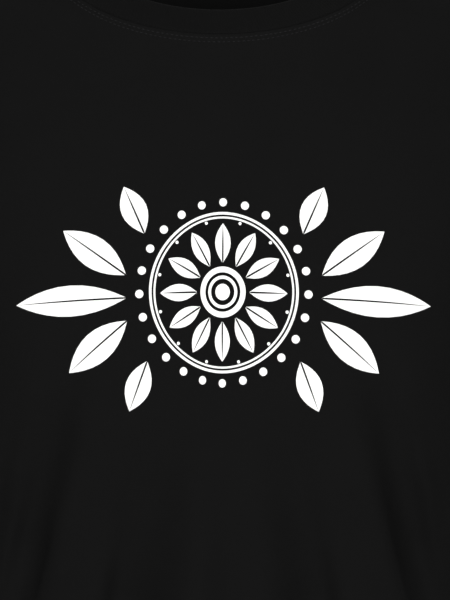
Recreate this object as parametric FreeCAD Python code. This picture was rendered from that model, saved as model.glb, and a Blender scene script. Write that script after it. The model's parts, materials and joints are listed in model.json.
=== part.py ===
"""Crew-neck T-shirt in the shape that it takes when it is worn, as closed solids, one node for each sewn piece.

Units are millimetres. +Z is up, the front faces -Y, and +X is the wearer's left.
The origin is at the base of the wearer's neck, midway between the neck points of the two shoulders.
"""

import math
import os

import FreeCAD
import Part

V = FreeCAD.Vector
OUT = "parts"
SIDES = {"left": 1, "right": -1}
REACH = 600  # half the size of a cutting block: past the shirt on every side

# Cloth, as solids: how thick each kind of piece is, and the gap that keeps two layers from touching.
PANEL_THICK = 2.0
RIB_THICK = 2.6
RIB_PROUD = 0.3
LAYER_THICK = 1.2
LAYER_GAP = 0.2
PRINT_THICK = 0.5

# Body: one row a level, from the hem up into the neck. Depths are measured from the side seams. The two powers say
# how square each half of the section is: 2 is an ellipse, and more is fuller at the corners.
# columns: z, half_width, front_depth, back_depth, front_power, back_power
BODY_LEVELS = [
    (-668, 177, 121, 119, 2.8, 2.8),
    (-590, 175, 120, 115, 2.8, 2.8),
    (-480, 168, 118, 110, 2.8, 2.7),
    (-360, 168, 117, 106, 2.8, 2.6),
    (-290, 177, 116, 105, 2.8, 2.6),
    (-220, 188, 110, 104, 2.8, 2.5),
    (-150, 201, 96, 101, 2.8, 2.4),
    (-90, 207, 80, 88, 2.2, 2.1),
    (-52, 200, 64, 67, 2, 2),
    (-28, 160, 60, 53, 2, 2),
    (-4, 116, 60, 41, 2, 2),
    (12, 92, 58, 36, 2, 2),
    (40, 80, 57, 35, 2, 2),
]
BODY_STEPS = 2  # levels to each row, on a smooth curve through the rows
HALF_POINTS = 32  # the spans of each half of a section

# Main folds: valleys that run down the cloth, each one deepest at the middle of its height. Each has its mirror image.
# columns: front (-1) or back (1), depth, spread, then its line as top_z, top_x, bottom_z, bottom_x
BODY_FOLDS = [
    (-1, 10, 16, -240, 76, -560, 147),
    (1, 7, 15, -290, 100, -560, 112),
]

# Sleeve: one row a section, from inside the body out to its hem. tilt is how far the section's outward normal
# points below level, in degrees.
# columns: centre_x, centre_y, centre_z, tilt, half_height, half_depth
SLEEVE_SECTIONS = [
    (120, 0, -130, 4, 62, 54),
    (190, -1, -134, 17, 78, 62),
    (222, 0, -158, 34, 72, 60),
    (246, 0, -178, 44, 60, 56),
    (287, 2, -235, 53, 51, 48),
]
SLEEVE_STEPS = 3
SLEEVE_POINTS = 16

# Neckline. Each edge of the collar is an ellipse in front view, deep in front and shallow behind.
# columns: level, half_width, front_drop, back_drop
NECK_SEAM = (-2, 112, 62, 9)
NECK_TOP = (7, 97, 56, 1)

# Hems, seams and what is sewn in at the neck.
BODY_HEM_HEIGHT = 22
SLEEVE_HEM_HEIGHT = 20
SEAM_WIDTH = 8
ARMPIT_Z = -245
SHOULDER_Z = -70
TAPE_WIDTH = 10
LABEL_REACH = 45  # from the left side seam, round the inside of the front
LABEL_WIDTH = 25
LABEL_ABOVE_HEM = 100

# Chest print: an ornament of a rosette between two sprays of leaves, in front view about its own centre.
PRINT_CENTRE = (2, -229)
DOT_RADIUS = 2.6
# columns: inner_radius, outer_radius
PRINT_RINGS = [(0, 8), (12, 15.5), (45, 49)]
# columns: count, radius_from, radius_to, width
PRINT_PETALS = [(12, 18, 42, 10.5)]
# columns: count, radius
PRINT_DOTS = [(24, 55)]
# One side's leaves; the other side mirrors them. Angles are from +X.
# columns: root_x, root_z, angle, length, width
PRINT_LEAVES = [
    (62, -2, 0, 64, 15),
    (62, 12, 38, 46, 15),
    (62, -16, -38, 46, 15),
    (50, 36, 68, 32, 13),
    (50, -40, -68, 32, 13),
]


def smooth_rows(rows, steps):
    """The rows, with steps - 1 more between each two, on a Catmull-Rom curve."""
    found = []
    for i in range(len(rows) - 1):
        before = rows[max(i - 1, 0)]
        start, end = rows[i], rows[i + 1]
        after = rows[min(i + 2, len(rows) - 1)]
        for k in range(steps):
            u = k / steps
            found.append(tuple(
                0.5 * (2 * b + (c - a) * u + (2 * a - 5 * b + 4 * c - d) * u**2 + (3 * b - a - 3 * c + d) * u**3)
                for a, b, c, d in zip(before, start, end, after)
            ))
    return found + [rows[-1]]


def fold_depth(x, z, end):
    """How far the main folds take the cloth in at one place on the front or the back."""
    found = 0
    for face, depth, spread, top_z, top_x, bottom_z, bottom_x in BODY_FOLDS:
        share = (z - top_z) / (bottom_z - top_z)
        if face == end and 0 < share < 1:
            line = top_x + (bottom_x - top_x) * share
            found += depth * math.sin(math.pi * share) * math.exp(-(((abs(x) - line) / spread) ** 2))
    return found


def half_oval(z, half_width, depth, power, end):
    """Half of a level section, on the front (end -1) or the back (end 1), from one side seam to the other."""
    points, places = [], [i / HALF_POINTS for i in range(HALF_POINTS + 1)]
    for place in places:
        angle = math.pi * place
        across, out = math.cos(angle), abs(math.sin(angle))
        x = half_width * math.copysign(abs(across) ** (2 / power), across) if 0 < place < 1 else half_width * across
        y = depth * out ** (2 / power) if 0 < place < 1 else 0
        points.append(V(x, end * max(y - fold_depth(x, z, end), 0), z))
    curve = Part.BSplineCurve()
    curve.interpolate(Points=points, Parameters=places)
    return curve.toShape()


def body_solid(inset):
    """The body as a full solid, taken in by inset all round."""
    wires = []
    for z, width, front, back, front_power, back_power in smooth_rows(BODY_LEVELS, BODY_STEPS):
        halves = [half_oval(z, width - inset, back - inset, back_power, 1), half_oval(z, width - inset, front - inset, front_power, -1)]
        wires.append(Part.Wire(halves))
    return Part.makeLoft(wires, True, True)


def sleeve_wire(side, inset, centre_x, centre_y, centre_z, tilt, half_height, half_depth):
    """One elliptical section of a sleeve, in its own tilted plane."""
    angle = math.radians(tilt)
    centre = V(side * centre_x, centre_y, centre_z)
    up = V(side * math.sin(angle), 0, math.cos(angle)) * (half_height - inset)
    across = V(0, half_depth - inset, 0)
    turns = [2 * math.pi * i / SLEEVE_POINTS for i in range(SLEEVE_POINTS)]
    curve = Part.BSplineCurve()
    curve.interpolate(Points=[centre + up * math.cos(turn) + across * math.sin(turn) for turn in turns], PeriodicFlag=True)
    return Part.Wire([curve.toShape()])


def sleeve_solid(side, inset):
    """A sleeve as a full solid, taken in by inset all round."""
    rows = smooth_rows(SLEEVE_SECTIONS, SLEEVE_STEPS)
    return Part.makeLoft([sleeve_wire(side, inset, *row) for row in rows], True, True)


def block(x0, x1, y0, y1, z0, z1):
    """A box from its lowest corner to its highest."""
    return Part.makeBox(x1 - x0, y1 - y0, z1 - z0, V(x0, y0, z0))


def front_half():
    return block(-REACH, REACH, -REACH, 0, -2 * REACH, REACH)


def back_half():
    return block(-REACH, REACH, 0, REACH, -2 * REACH, REACH)


def one_side(side, y0=-REACH, y1=REACH, z0=-2 * REACH, z1=REACH):
    """A block on one side of the shirt's middle, between these depths and heights."""
    return block(min(0, side * REACH), max(0, side * REACH), y0, y1, z0, z1)


def above_neckline(level, half_width, front_drop, back_drop):
    """Everything above a neckline: all that is above its level, and the ellipse that hangs below."""
    cutter = block(-REACH, REACH, -REACH, REACH, level, level + REACH)
    for drop, y0, y1 in ((front_drop, -REACH, 0), (back_drop, 0, REACH)):
        centre = V(0, y0, level)
        ellipse = Part.Ellipse(centre + V(half_width, 0, 0), centre + V(0, 0, drop), centre)
        face = Part.Face(Part.Wire([ellipse.toShape()]))
        cutter = cutter.fuse(face.extrude(V(0, y1 - y0, 0)))
    return cutter


def sleeve_end(side):
    """A block that holds the last stretch of a sleeve, as high as its hem."""
    centre_x, centre_y, centre_z, tilt, _, _ = SLEEVE_SECTIONS[-1]
    angle = math.radians(tilt)
    outward = V(side * math.cos(angle), 0, -math.sin(angle))
    start = V(side * centre_x, centre_y, centre_z) - outward * SLEEVE_HEM_HEIGHT
    disc = Part.makeCircle(REACH / 4, start, outward)
    return Part.Face(Part.Wire([disc])).extrude(outward * REACH / 2)


def disc(x, z, radius):
    """A flat round face in front view, well in front of the chest."""
    return Part.Face(Part.Wire([Part.makeCircle(radius, V(x, -REACH, z), V(0, 1, 0))]))


def leaf(x, z, angle, length, width):
    """A flat leaf of two arcs in front view, from its root at x, z."""
    along = V(math.cos(angle), 0, math.sin(angle))
    across = V(-math.sin(angle), 0, math.cos(angle)) * width / 2
    root = V(x, -REACH, z)
    tip = root + along * length
    middle = root + along * length / 2
    arcs = [Part.Arc(root, middle + across, tip).toShape(), Part.Arc(tip, middle - across, root).toShape()]
    return Part.Face(Part.Wire(arcs))


def print_faces():
    """The ornament's flat faces in front view."""
    x0, z0 = PRINT_CENTRE
    faces = []
    for inner, outer in PRINT_RINGS:
        ring = disc(x0, z0, outer)
        faces.append(ring.cut(disc(x0, z0, inner)) if inner else ring)
    for count, start, end, width in PRINT_PETALS:
        for i in range(count):
            angle = 2 * math.pi * i / count
            faces.append(leaf(x0 + start * math.cos(angle), z0 + start * math.sin(angle), angle, end - start, width))
    for count, radius in PRINT_DOTS:
        for i in range(count):
            angle = 2 * math.pi * i / count
            faces.append(disc(x0 + radius * math.cos(angle), z0 + radius * math.sin(angle), DOT_RADIUS))
    for root_x, root_z, angle, length, width in PRINT_LEAVES:
        turn = math.radians(angle)
        faces.append(leaf(x0 + root_x, z0 + root_z, turn, length, width))
        faces.append(leaf(x0 - root_x, z0 + root_z, math.pi - turn, length, width))
    return faces


def export(name, shape):
    """Writes one node, and says how many solids it has and how big they are."""
    shape.exportStep(os.path.join(OUT, name + ".step"))
    print(f"{name}: {len(shape.Solids)} solid, {shape.Volume / 1000:.2f} cm3, valid {shape.isValid()}", flush=True)


def main():
    os.makedirs(OUT, exist_ok=True)
    under = PANEL_THICK + LAYER_GAP
    body = body_solid(0)
    layer = body_solid(under).cut(body_solid(under + LAYER_THICK))
    neck_cut = above_neckline(*NECK_SEAM)
    arms = {side: sleeve_solid(side, PANEL_THICK) for side in SIDES.values()}

    # The two body panels, open at the neck and at the armholes.
    shell = body.cut(body_solid(PANEL_THICK)).cut(neck_cut)
    for arm in arms.values():
        shell = shell.cut(arm)
    export("front_panel", shell.common(front_half()))
    export("back_panel", shell.common(back_half()))

    # The collar's folded rib, and the tape inside the back of the neck.
    rib = body_solid(-RIB_PROUD).cut(body_solid(RIB_THICK - RIB_PROUD))
    export("neck_rib", rib.common(neck_cut).cut(above_neckline(*NECK_TOP)))
    level, half_width, front_drop, back_drop = NECK_SEAM
    tape_cut = above_neckline(level, half_width + TAPE_WIDTH, front_drop, back_drop + TAPE_WIDTH)
    export("neck_tape", layer.common(tape_cut).cut(neck_cut).common(back_half()))

    # The turned-up hem at the bottom, the blank care label above it, and the seams inside the body.
    hem_z = BODY_LEVELS[0][0]
    label_z = hem_z + LABEL_ABOVE_HEM
    export("care_label", layer.common(block(0, REACH, -LABEL_REACH, -LAYER_GAP, label_z, label_z + LABEL_WIDTH)))
    export("bottom_hem", layer.common(block(-REACH, REACH, -REACH, REACH, hem_z, hem_z + BODY_HEM_HEIGHT)))
    for name, side in SIDES.items():
        seam = layer.common(one_side(side, 0, SEAM_WIDTH)).cut(neck_cut).cut(sleeve_solid(side, -SEAM_WIDTH - LAYER_GAP))
        export(f"side_seam_{name}", seam.common(one_side(side, z0=hem_z + BODY_HEM_HEIGHT + LAYER_GAP, z1=ARMPIT_Z)))
        export(f"shoulder_seam_{name}", seam.common(one_side(side, z0=SHOULDER_Z)).cut(tape_cut))
        export(f"armhole_seam_{name}", layer.common(sleeve_solid(side, -SEAM_WIDTH)).cut(sleeve_solid(side, 0)).cut(neck_cut)
               .common(block(min(side * 100, side * REACH), max(side * 100, side * REACH), -REACH, REACH, -2 * REACH, REACH)))

    # The sleeves and their turned-up hems.
    for name, side in SIDES.items():
        export(f"sleeve_{name}", sleeve_solid(side, 0).cut(arms[side]).cut(body))
        hem = sleeve_solid(side, under).cut(sleeve_solid(side, under + LAYER_THICK))
        export(f"sleeve_hem_{name}", hem.common(sleeve_end(side)))

    # The print, a thin film in front of the chest.
    film = body_solid(-LAYER_GAP / 2 - PRINT_THICK).cut(body_solid(-LAYER_GAP / 2)).common(front_half())
    inked = [film.common(face.extrude(V(0, REACH, 0))) for face in print_faces()]
    export("chest_print", Part.makeCompound([solid for shape in inked for solid in shape.Solids]))


main()
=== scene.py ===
"""A black crew-neck T-shirt with a light ornament on its chest, in the shape that it takes when it is worn.

The shirt is cut flat, sewn and draped. ShirtCut holds the flat pattern, WornShape says roughly where its cloth lies
on the wearer, and Drape lets a cloth simulation settle it over an invisible dress form. Everything that is sewn or
printed on the cloth is laid out on the flat pattern, and follows the draped cloth from there.

Lengths are in metres. +Z is up, the front faces -Y, and +X is the wearer's left. The origin is at the base of the
wearer's neck, midway between the neck points of the two shoulders.
"""

from __future__ import annotations

import json
import logging
import math
from collections.abc import Sequence
from dataclasses import dataclass, field
from enum import Enum

import bmesh
import bpy
import numpy as np
from mathutils import Matrix, Vector
from mathutils.bvhtree import BVHTree

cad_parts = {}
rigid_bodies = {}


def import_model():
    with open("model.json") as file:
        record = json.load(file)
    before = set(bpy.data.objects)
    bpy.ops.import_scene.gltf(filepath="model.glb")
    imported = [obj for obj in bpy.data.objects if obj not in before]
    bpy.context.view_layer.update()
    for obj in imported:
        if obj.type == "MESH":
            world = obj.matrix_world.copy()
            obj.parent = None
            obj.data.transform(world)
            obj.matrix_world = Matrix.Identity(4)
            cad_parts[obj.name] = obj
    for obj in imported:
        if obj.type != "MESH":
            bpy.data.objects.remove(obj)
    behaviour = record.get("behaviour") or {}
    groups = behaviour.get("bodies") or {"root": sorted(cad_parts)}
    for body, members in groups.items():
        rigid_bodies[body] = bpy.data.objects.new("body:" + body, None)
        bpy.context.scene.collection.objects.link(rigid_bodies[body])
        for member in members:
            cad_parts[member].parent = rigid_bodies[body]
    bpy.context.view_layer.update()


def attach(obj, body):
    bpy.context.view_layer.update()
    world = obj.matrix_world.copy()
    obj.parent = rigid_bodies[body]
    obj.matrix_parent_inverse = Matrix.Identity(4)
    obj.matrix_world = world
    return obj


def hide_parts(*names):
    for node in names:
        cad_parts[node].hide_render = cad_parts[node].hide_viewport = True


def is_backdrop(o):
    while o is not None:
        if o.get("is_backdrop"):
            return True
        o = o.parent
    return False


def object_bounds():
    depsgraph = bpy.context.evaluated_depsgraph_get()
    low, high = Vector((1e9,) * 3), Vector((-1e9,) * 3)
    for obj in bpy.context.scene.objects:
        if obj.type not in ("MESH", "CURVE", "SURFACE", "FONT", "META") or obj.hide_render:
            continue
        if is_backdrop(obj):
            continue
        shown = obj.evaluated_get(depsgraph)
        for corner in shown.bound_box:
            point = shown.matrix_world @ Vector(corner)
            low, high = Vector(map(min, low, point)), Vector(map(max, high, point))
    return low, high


LOG = logging.getLogger("shirt")
MM = 0.001
CELL = 8 * MM  # the spacing of the cloth's grid
NECK_STEPS = 240  # in each panel's half of a line round the neck, which puts its points about 1 mm apart
SIM_FRAMES = 30
FLAT_MAP = "flat"  # the UV map that holds each piece's place on the flat cloth, in metres
CLOUD = 35 * MM  # the size of the faint patches of tone and gloss that every finish has
Array = np.ndarray


class Face(Enum):
    """The two body panels, by the way that each faces along Y."""

    FRONT = -1
    BACK = 1


class Hand(Enum):
    """The wearer's two sides, by their direction along X."""

    LEFT = 1
    RIGHT = -1


# ---------------------------------------------------------------------------------------------------------------
# Curves and grids


def smooth_rows(rows: Sequence[Sequence[float]], steps: int) -> Array:
    """Puts more rows between those given, on a Catmull-Rom curve.

    Args:
        rows: the rows that the curve passes through.
        steps: how many steps lead from each row to the next.

    Returns:
        The rows of the curve, the given ones among them.
    """
    table = np.array(rows, float)
    last = len(table) - 1
    found = []
    for i in range(last):
        a, b, c, d = table[max(i - 1, 0)], table[i], table[i + 1], table[min(i + 2, last)]
        for k in range(steps):
            u = k / steps
            found.append(0.5 * (2 * b + (c - a) * u + (2 * a - 5 * b + 4 * c - d) * u**2
                                + (3 * b - a - 3 * c + d) * u**3))
    return np.array([*found, table[-1]])


def lengths(points: Array) -> Array:
    """The distance along a line of points, at each of them."""
    steps = np.linalg.norm(np.diff(points, axis=0), axis=1)
    return np.concatenate([[0.0], np.cumsum(steps)])


def along(points: Array, shares: Array) -> Array:
    """The points of a line at given shares of its length."""
    run = lengths(points)
    return np.stack([np.interp(np.asarray(shares) * run[-1], run, points[:, k]) for k in range(points.shape[1])], -1)


def spaced(points: Array, cells: int) -> Array:
    """A line again, with its points evenly spaced, one more than cells."""
    return along(points, np.linspace(0, 1, cells + 1))


def mirrored(points: Array) -> Array:
    """A flat line on the other side of the middle, in the same order."""
    return points * [-1, 1]


def patch(bottom: Array, top: Array, left: Array, right: Array) -> Array:
    """Fills four edge lines with a grid.

    Args:
        bottom: the bottom edge, from left to right.
        top: the top edge, from left to right.
        left: the left edge, from bottom to top.
        right: the right edge, from bottom to top.

    Returns:
        The grid's points, a row for each point of the left edge.
    """
    u = np.linspace(0, 1, len(bottom))[None, :, None]
    v = np.linspace(0, 1, len(left))[:, None, None]
    between = (1 - v) * bottom[None] + v * top[None] + (1 - u) * left[:, None] + u * right[:, None]
    ends = (1 - u) * (1 - v) * bottom[0] + u * (1 - v) * bottom[-1] + (1 - u) * v * top[0] + u * v * top[-1]
    return between - ends


def evened(grid: Array, rounds: int) -> Array:
    """Spreads a grid's inner points evenly between its edges.

    Args:
        grid: the grid's points, row by row.
        rounds: how many times each inner point goes to the middle of its neighbours.

    Returns:
        The grid, with its edges as they were.
    """
    grid = grid.copy()
    for _ in range(rounds):
        grid[1:-1, 1:-1] = (grid[:-2, 1:-1] + grid[2:, 1:-1] + grid[1:-1, :-2] + grid[1:-1, 2:]) / 4
    return grid


# ---------------------------------------------------------------------------------------------------------------
# Meshes


def laid(points: Array, flat: Array | None = None, bm: bmesh.types.BMesh | None = None, number: int = 0,
         turned: bool = False) -> bmesh.types.BMesh:
    """Lays a grid of quads through rows of points.

    Args:
        points: the points, row by row.
        flat: where each point is on the flat cloth, for the UV map.
        bm: the mesh that the grid is added to, or None for a new one.
        number: a number that the grid's faces carry.
        turned: whether the faces look the other way.

    Returns:
        The mesh.
    """
    bm = bm or bmesh.new()
    rows, columns = points.shape[:2]
    verts = bmesh.ops.create_grid(bm, x_segments=columns - 1, y_segments=rows - 1, size=1)["verts"]
    for vert, point in zip(verts, points.reshape(-1, 3)):
        vert.co = point
    bm.faces.ensure_lookup_table()
    faces = bm.faces[-(rows - 1) * (columns - 1):]
    if flat is not None:
        uv = bm.loops.layers.uv.get(FLAT_MAP) or bm.loops.layers.uv.new(FLAT_MAP)
        place = dict(zip(verts, flat.reshape(-1, 2).tolist()))
        for face in faces:
            for loop in face.loops:
                loop[uv].uv = place[loop.vert]
    for face in faces:
        face.material_index = number
        face.smooth = True
    if turned:
        bmesh.ops.reverse_faces(bm, faces=faces)
    return bm


def to_mesh(bm: bmesh.types.BMesh, name: str) -> bpy.types.Mesh:
    """Turns a bmesh into a mesh, and frees it.

    Args:
        bm: the bmesh.
        name: the mesh's name.

    Returns:
        The mesh.
    """
    mesh = bpy.data.meshes.new(name)
    bm.to_mesh(mesh)
    bm.free()
    return mesh


# ---------------------------------------------------------------------------------------------------------------
# The flat pattern


@dataclass(frozen=True)
class ShirtCut:
    """The flat pattern of an adult medium. Y is measured from the neck point of the shoulder, downwards below 0."""

    half_chest: float = 0.255
    hem_y: float = -0.705
    armpit_y: float = -0.232
    shoulder_x: float = 0.222
    shoulder_y: float = -0.044
    neck_x: float = 0.112
    front_drop: float = 0.105
    back_drop: float = 0.046
    armhole: tuple = ((0.232, -0.219), (0.210, -0.180), (0.203, -0.130), (0.210, -0.080))
    bicep_x: float = 0.190
    sleeve_hem_x: float = 0.174
    underarm: float = 0.098
    # The sleeve cap's outline, as x and a share of the cap's height.
    cap: tuple = ((0.190, 0.0), (0.165, 0.14), (0.118, 0.47), (0.062, 0.86), (0.0, 1.0))
    cap_ease: float = 1.01
    body_hem: float = 0.021
    sleeve_hem: float = 0.019
    # The lengths that the grid's cells are counted from: a shoulder, half a neckline, an armhole and a sleeve.
    shoulder_run: float = 0.118
    neck_run: float = 0.165
    armhole_run: float = 0.215
    sleeve_run: float = 0.2
    evening: int = 1500  # how many rounds spread a panel's grid evenly

    @property
    def shoulder_cells(self) -> int:
        """How many cells run along each shoulder seam."""
        return round(self.shoulder_run / CELL)

    @property
    def neck_cells(self) -> int:
        """How many cells run along one panel's neckline."""
        return 2 * round(self.neck_run / CELL)

    @property
    def side_cells(self) -> int:
        """How many cells run up each side seam."""
        return round((self.armpit_y - self.hem_y) / CELL)

    @property
    def armhole_cells(self) -> int:
        """How many cells run up one panel's armhole."""
        return round(self.armhole_run / CELL)

    @property
    def sleeve_cells(self) -> int:
        """How many cells run along a sleeve."""
        return round(self.sleeve_run / CELL)

    def drop(self, face: Face) -> float:
        """How deep a panel's neckline is below the neck points."""
        return self.front_drop if face is Face.FRONT else self.back_drop

    def neckline(self, face: Face, out: float = 0.0) -> Array:
        """A panel's neckline from the wearer's right to left.

        Args:
            face: the panel.
            out: how far outside the neckline the line runs, into the panel.

        Returns:
            The line's flat points.
        """
        turn = np.linspace(0, math.pi, NECK_STEPS + 1)
        depth = self.drop(face)
        line = np.stack([-self.neck_x * np.cos(turn), -depth * np.sin(turn)], -1)
        normal = np.stack([-depth * np.cos(turn), -self.neck_x * np.sin(turn)], -1)
        return line + out * normal / np.linalg.norm(normal, axis=1, keepdims=True)

    def armhole_line(self) -> Array:
        """The right armhole of a body panel.

        Returns:
            The line's flat points, from the armpit to the shoulder's tip.
        """
        inner = [(-x, y) for x, y in self.armhole]
        ends = [(-self.half_chest, self.armpit_y), *inner, (-self.shoulder_x, self.shoulder_y)]
        return smooth_rows(ends, 24)

    def body(self, face: Face) -> Array:
        """Cuts a body panel.

        Args:
            face: the panel.

        Returns:
            Its flat grid, from the hem up and from the wearer's right to left.
        """
        tip, point = (-self.shoulder_x, self.shoulder_y), (-self.neck_x, 0.0)
        shoulder = np.linspace(tip, point, self.shoulder_cells + 1)
        neck = spaced(self.neckline(face), self.neck_cells)
        top = np.concatenate([shoulder, neck[1:], mirrored(shoulder[::-1])[1:]])
        bottom = np.linspace((-self.half_chest, self.hem_y), (self.half_chest, self.hem_y), len(top))
        seam = np.linspace((-self.half_chest, self.hem_y), (-self.half_chest, self.armpit_y), self.side_cells + 1)
        left = np.concatenate([seam[:-1], spaced(self.armhole_line(), self.armhole_cells)])
        return evened(patch(bottom, top, left, mirrored(left)), self.evening)

    def cap_line(self, height: float) -> Array:
        """A sleeve cap's line of a given height."""
        half = [(-x, self.underarm + share * height) for x, share in self.cap]
        return smooth_rows([*half, *[(-x, y) for x, y in half[-2::-1]]], 24)

    def sleeve(self) -> Array:
        """Cuts a sleeve, with a cap as long as the armhole that it is sewn into.

        Returns:
            Its flat grid, from its hem up.
        """
        wanted = 2 * lengths(self.armhole_line())[-1] * self.cap_ease
        low, high = 0.05, 0.2  # the cap's height is between these
        for _ in range(30):
            height = (low + high) / 2
            low, high = (height, high) if lengths(self.cap_line(height))[-1] < wanted else (low, height)
        top = spaced(self.cap_line(low), 2 * self.armhole_cells)
        bottom = np.linspace((-self.sleeve_hem_x, 0.0), (self.sleeve_hem_x, 0.0), len(top))
        left = np.linspace(bottom[0], top[0], self.sleeve_cells + 1)
        return patch(bottom, top, left, mirrored(left))


def grid_area(grid: Array) -> float:
    """Measures a flat grid.

    Args:
        grid: the grid's points, row by row.

    Returns:
        The area inside its outline.
    """
    outline = np.concatenate([grid[0], grid[1:, -1], grid[-1, -2::-1], grid[-2:0:-1, 0]])
    x, y = outline[:, 0], outline[:, 1]
    return abs(float(np.dot(x, np.roll(y, -1)) - np.dot(y, np.roll(x, -1)))) / 2


# ---------------------------------------------------------------------------------------------------------------
# The worn shape


@dataclass(frozen=True)
class Fold:
    """A soft valley that runs down a panel along a line of x and z.

    It begins at the height top, is at its full depth at full, and ends at bottom. A fold with no bottom of its own
    runs on through the hem.
    """

    face: Face
    line: tuple
    depth: float
    spread: float
    top: float
    full: float
    bottom: float = -9.0

    def pushed(self, x: Array, z: Array) -> Array:
        """How far in the cloth goes.

        Args:
            x: the places' distances from the middle, on this face.
            z: their heights.

        Returns:
            The depth at each place.
        """
        line = np.array(sorted(self.line, key=lambda point: point[1]))
        centre = np.interp(z, line[:, 1], line[:, 0])
        begun = np.clip((self.top - z) / (self.top - self.full), 0, 1)
        grown = begun * np.clip((z - self.bottom) / (self.full - self.bottom), 0, 1)
        return self.depth * grown * np.exp(-(((x - centre) / self.spread) ** 2))


@dataclass(frozen=True)
class WornShape:
    """Where the cloth lies before it is draped: level half ellipses, front and back, and the neckline on them."""

    # columns: z, half_width, front_depth, back_depth
    levels: tuple = (
        (-0.720, 0.197, 0.126, 0.122),
        (-0.480, 0.199, 0.124, 0.112),
        (-0.250, 0.204, 0.121, 0.104),
        (-0.150, 0.210, 0.106, 0.106),
        (-0.090, 0.214, 0.086, 0.094),
        (-0.052, 0.214, 0.068, 0.070),
        (-0.028, 0.172, 0.062, 0.054),
        (-0.004, 0.116, 0.060, 0.040),
        (0.012, 0.092, 0.058, 0.036),
        (0.040, 0.080, 0.057, 0.035),
    )
    armpit_z: float = -0.222
    shoulder_x: float = 0.2135
    # The seam and the top edge of the collar, as ellipses in front view: level, half_width, front_drop, back_drop.
    neck_seam: tuple = (-0.002, 0.112, 0.062, 0.009)
    neck_top: tuple = (0.007, 0.097, 0.056, 0.001)
    # The sleeve's end, as a ring: centre_x, centre_z, tilt of its outward normal below level, radius.
    sleeve_end: tuple = (0.292, -0.252, 60.0, 0.0557)
    sleeve_start_tilt: float = 28.0
    # Folds that are pressed in before the cloth is draped, which guide where it gathers.
    seeds: tuple = (
        Fold(Face.FRONT, ((-0.084, -0.27), (-0.096, -0.32), (-0.107, -0.38), (-0.122, -0.50), (-0.130, -0.70)),
             0.018, 0.014, -0.24, -0.42),
        Fold(Face.FRONT, ((0.080, -0.27), (0.093, -0.32), (0.104, -0.38), (0.119, -0.50), (0.128, -0.70)),
             0.018, 0.014, -0.24, -0.42),
        Fold(Face.FRONT, ((-0.116, -0.30), (-0.130, -0.38), (-0.150, -0.50), (-0.160, -0.70)),
             0.008, 0.009, -0.27, -0.40),
        Fold(Face.FRONT, ((0.117, -0.30), (0.133, -0.38), (0.152, -0.50), (0.160, -0.70)),
             0.008, 0.009, -0.27, -0.40),
        Fold(Face.FRONT, ((-0.036, -0.30), (-0.044, -0.70)), 0.004, 0.018, -0.24, -0.42),
        Fold(Face.FRONT, ((0.041, -0.30), (0.049, -0.70)), 0.004, 0.018, -0.24, -0.42),
        Fold(Face.BACK, ((-0.030, -0.20), (-0.035, -0.45), (-0.040, -0.70)), 0.005, 0.018, -0.20, -0.45),
        Fold(Face.BACK, ((0.040, -0.22), (0.045, -0.45), (0.045, -0.70)), 0.005, 0.018, -0.22, -0.45),
        Fold(Face.BACK, ((-0.100, -0.22), (-0.115, -0.45), (-0.120, -0.70)), 0.014, 0.016, -0.20, -0.45),
        Fold(Face.BACK, ((0.095, -0.22), (0.110, -0.45), (0.125, -0.70)), 0.014, 0.016, -0.22, -0.45),
    )
    # Folds that are set in the draped cloth: the two deep valleys, a fine crease outside each, a wide one on
    # either side of the middle, and one down the back.
    creases: tuple = (
        Fold(Face.FRONT, ((-0.091, -0.25), (-0.098, -0.29), (-0.108, -0.33), (-0.116, -0.36), (-0.122, -0.403),
                          (-0.138, -0.52)), 0.013, 0.0165, -0.24, -0.38, -0.60),
        Fold(Face.FRONT, ((0.090, -0.25), (0.101, -0.29), (0.111, -0.33), (0.119, -0.36), (0.129, -0.403),
                          (0.146, -0.52)), 0.0135, 0.0165, -0.24, -0.38, -0.60),
        Fold(Face.FRONT, ((-0.123, -0.29), (-0.136, -0.345), (-0.144, -0.40), (-0.158, -0.50)),
             0.003, 0.0055, -0.28, -0.36, -0.52),
        Fold(Face.FRONT, ((0.123, -0.29), (0.138, -0.345), (0.145, -0.40), (0.159, -0.50)),
             0.003, 0.0055, -0.28, -0.36, -0.52),
        Fold(Face.FRONT, ((-0.046, -0.30), (-0.052, -0.345), (-0.057, -0.365), (-0.060, -0.40), (-0.068, -0.52)),
             0.012, 0.018, -0.29, -0.41, -0.66),
        Fold(Face.FRONT, ((0.048, -0.30), (0.053, -0.345), (0.057, -0.365), (0.062, -0.40), (0.070, -0.52)),
             0.012, 0.018, -0.29, -0.41, -0.66),
        Fold(Face.BACK, ((-0.010, -0.36), (-0.018, -0.70)), 0.009, 0.019, -0.34, -0.52, -0.665),
    )

    # How the collar's corners at the shoulders are rounded, in points of its line.
    corner_reach: float = 22.0  # how far to either side of a shoulder
    corner_blur: float = 10.0  # over how many points each is averaged
    corner_pull: float = 0.02  # how far into the cloth that is felt, in metres

    # The columns that a panel is laid down along.
    column_end: float = -0.8  # their lowest z, below any cloth
    column_points: int = 700
    column_crowding: float = 1.6  # above 1, their points are closer together near the top
    column_inset: float = 0.99999  # the share of the half width that they stay within

    def section(self, z: Array) -> tuple[Array, Array, Array]:
        """The half width, front depth and back depth at each height."""
        table = smooth_rows(self.levels, 8)
        return tuple(np.interp(z, table[:, 0], table[:, k]) for k in (1, 2, 3))

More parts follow.
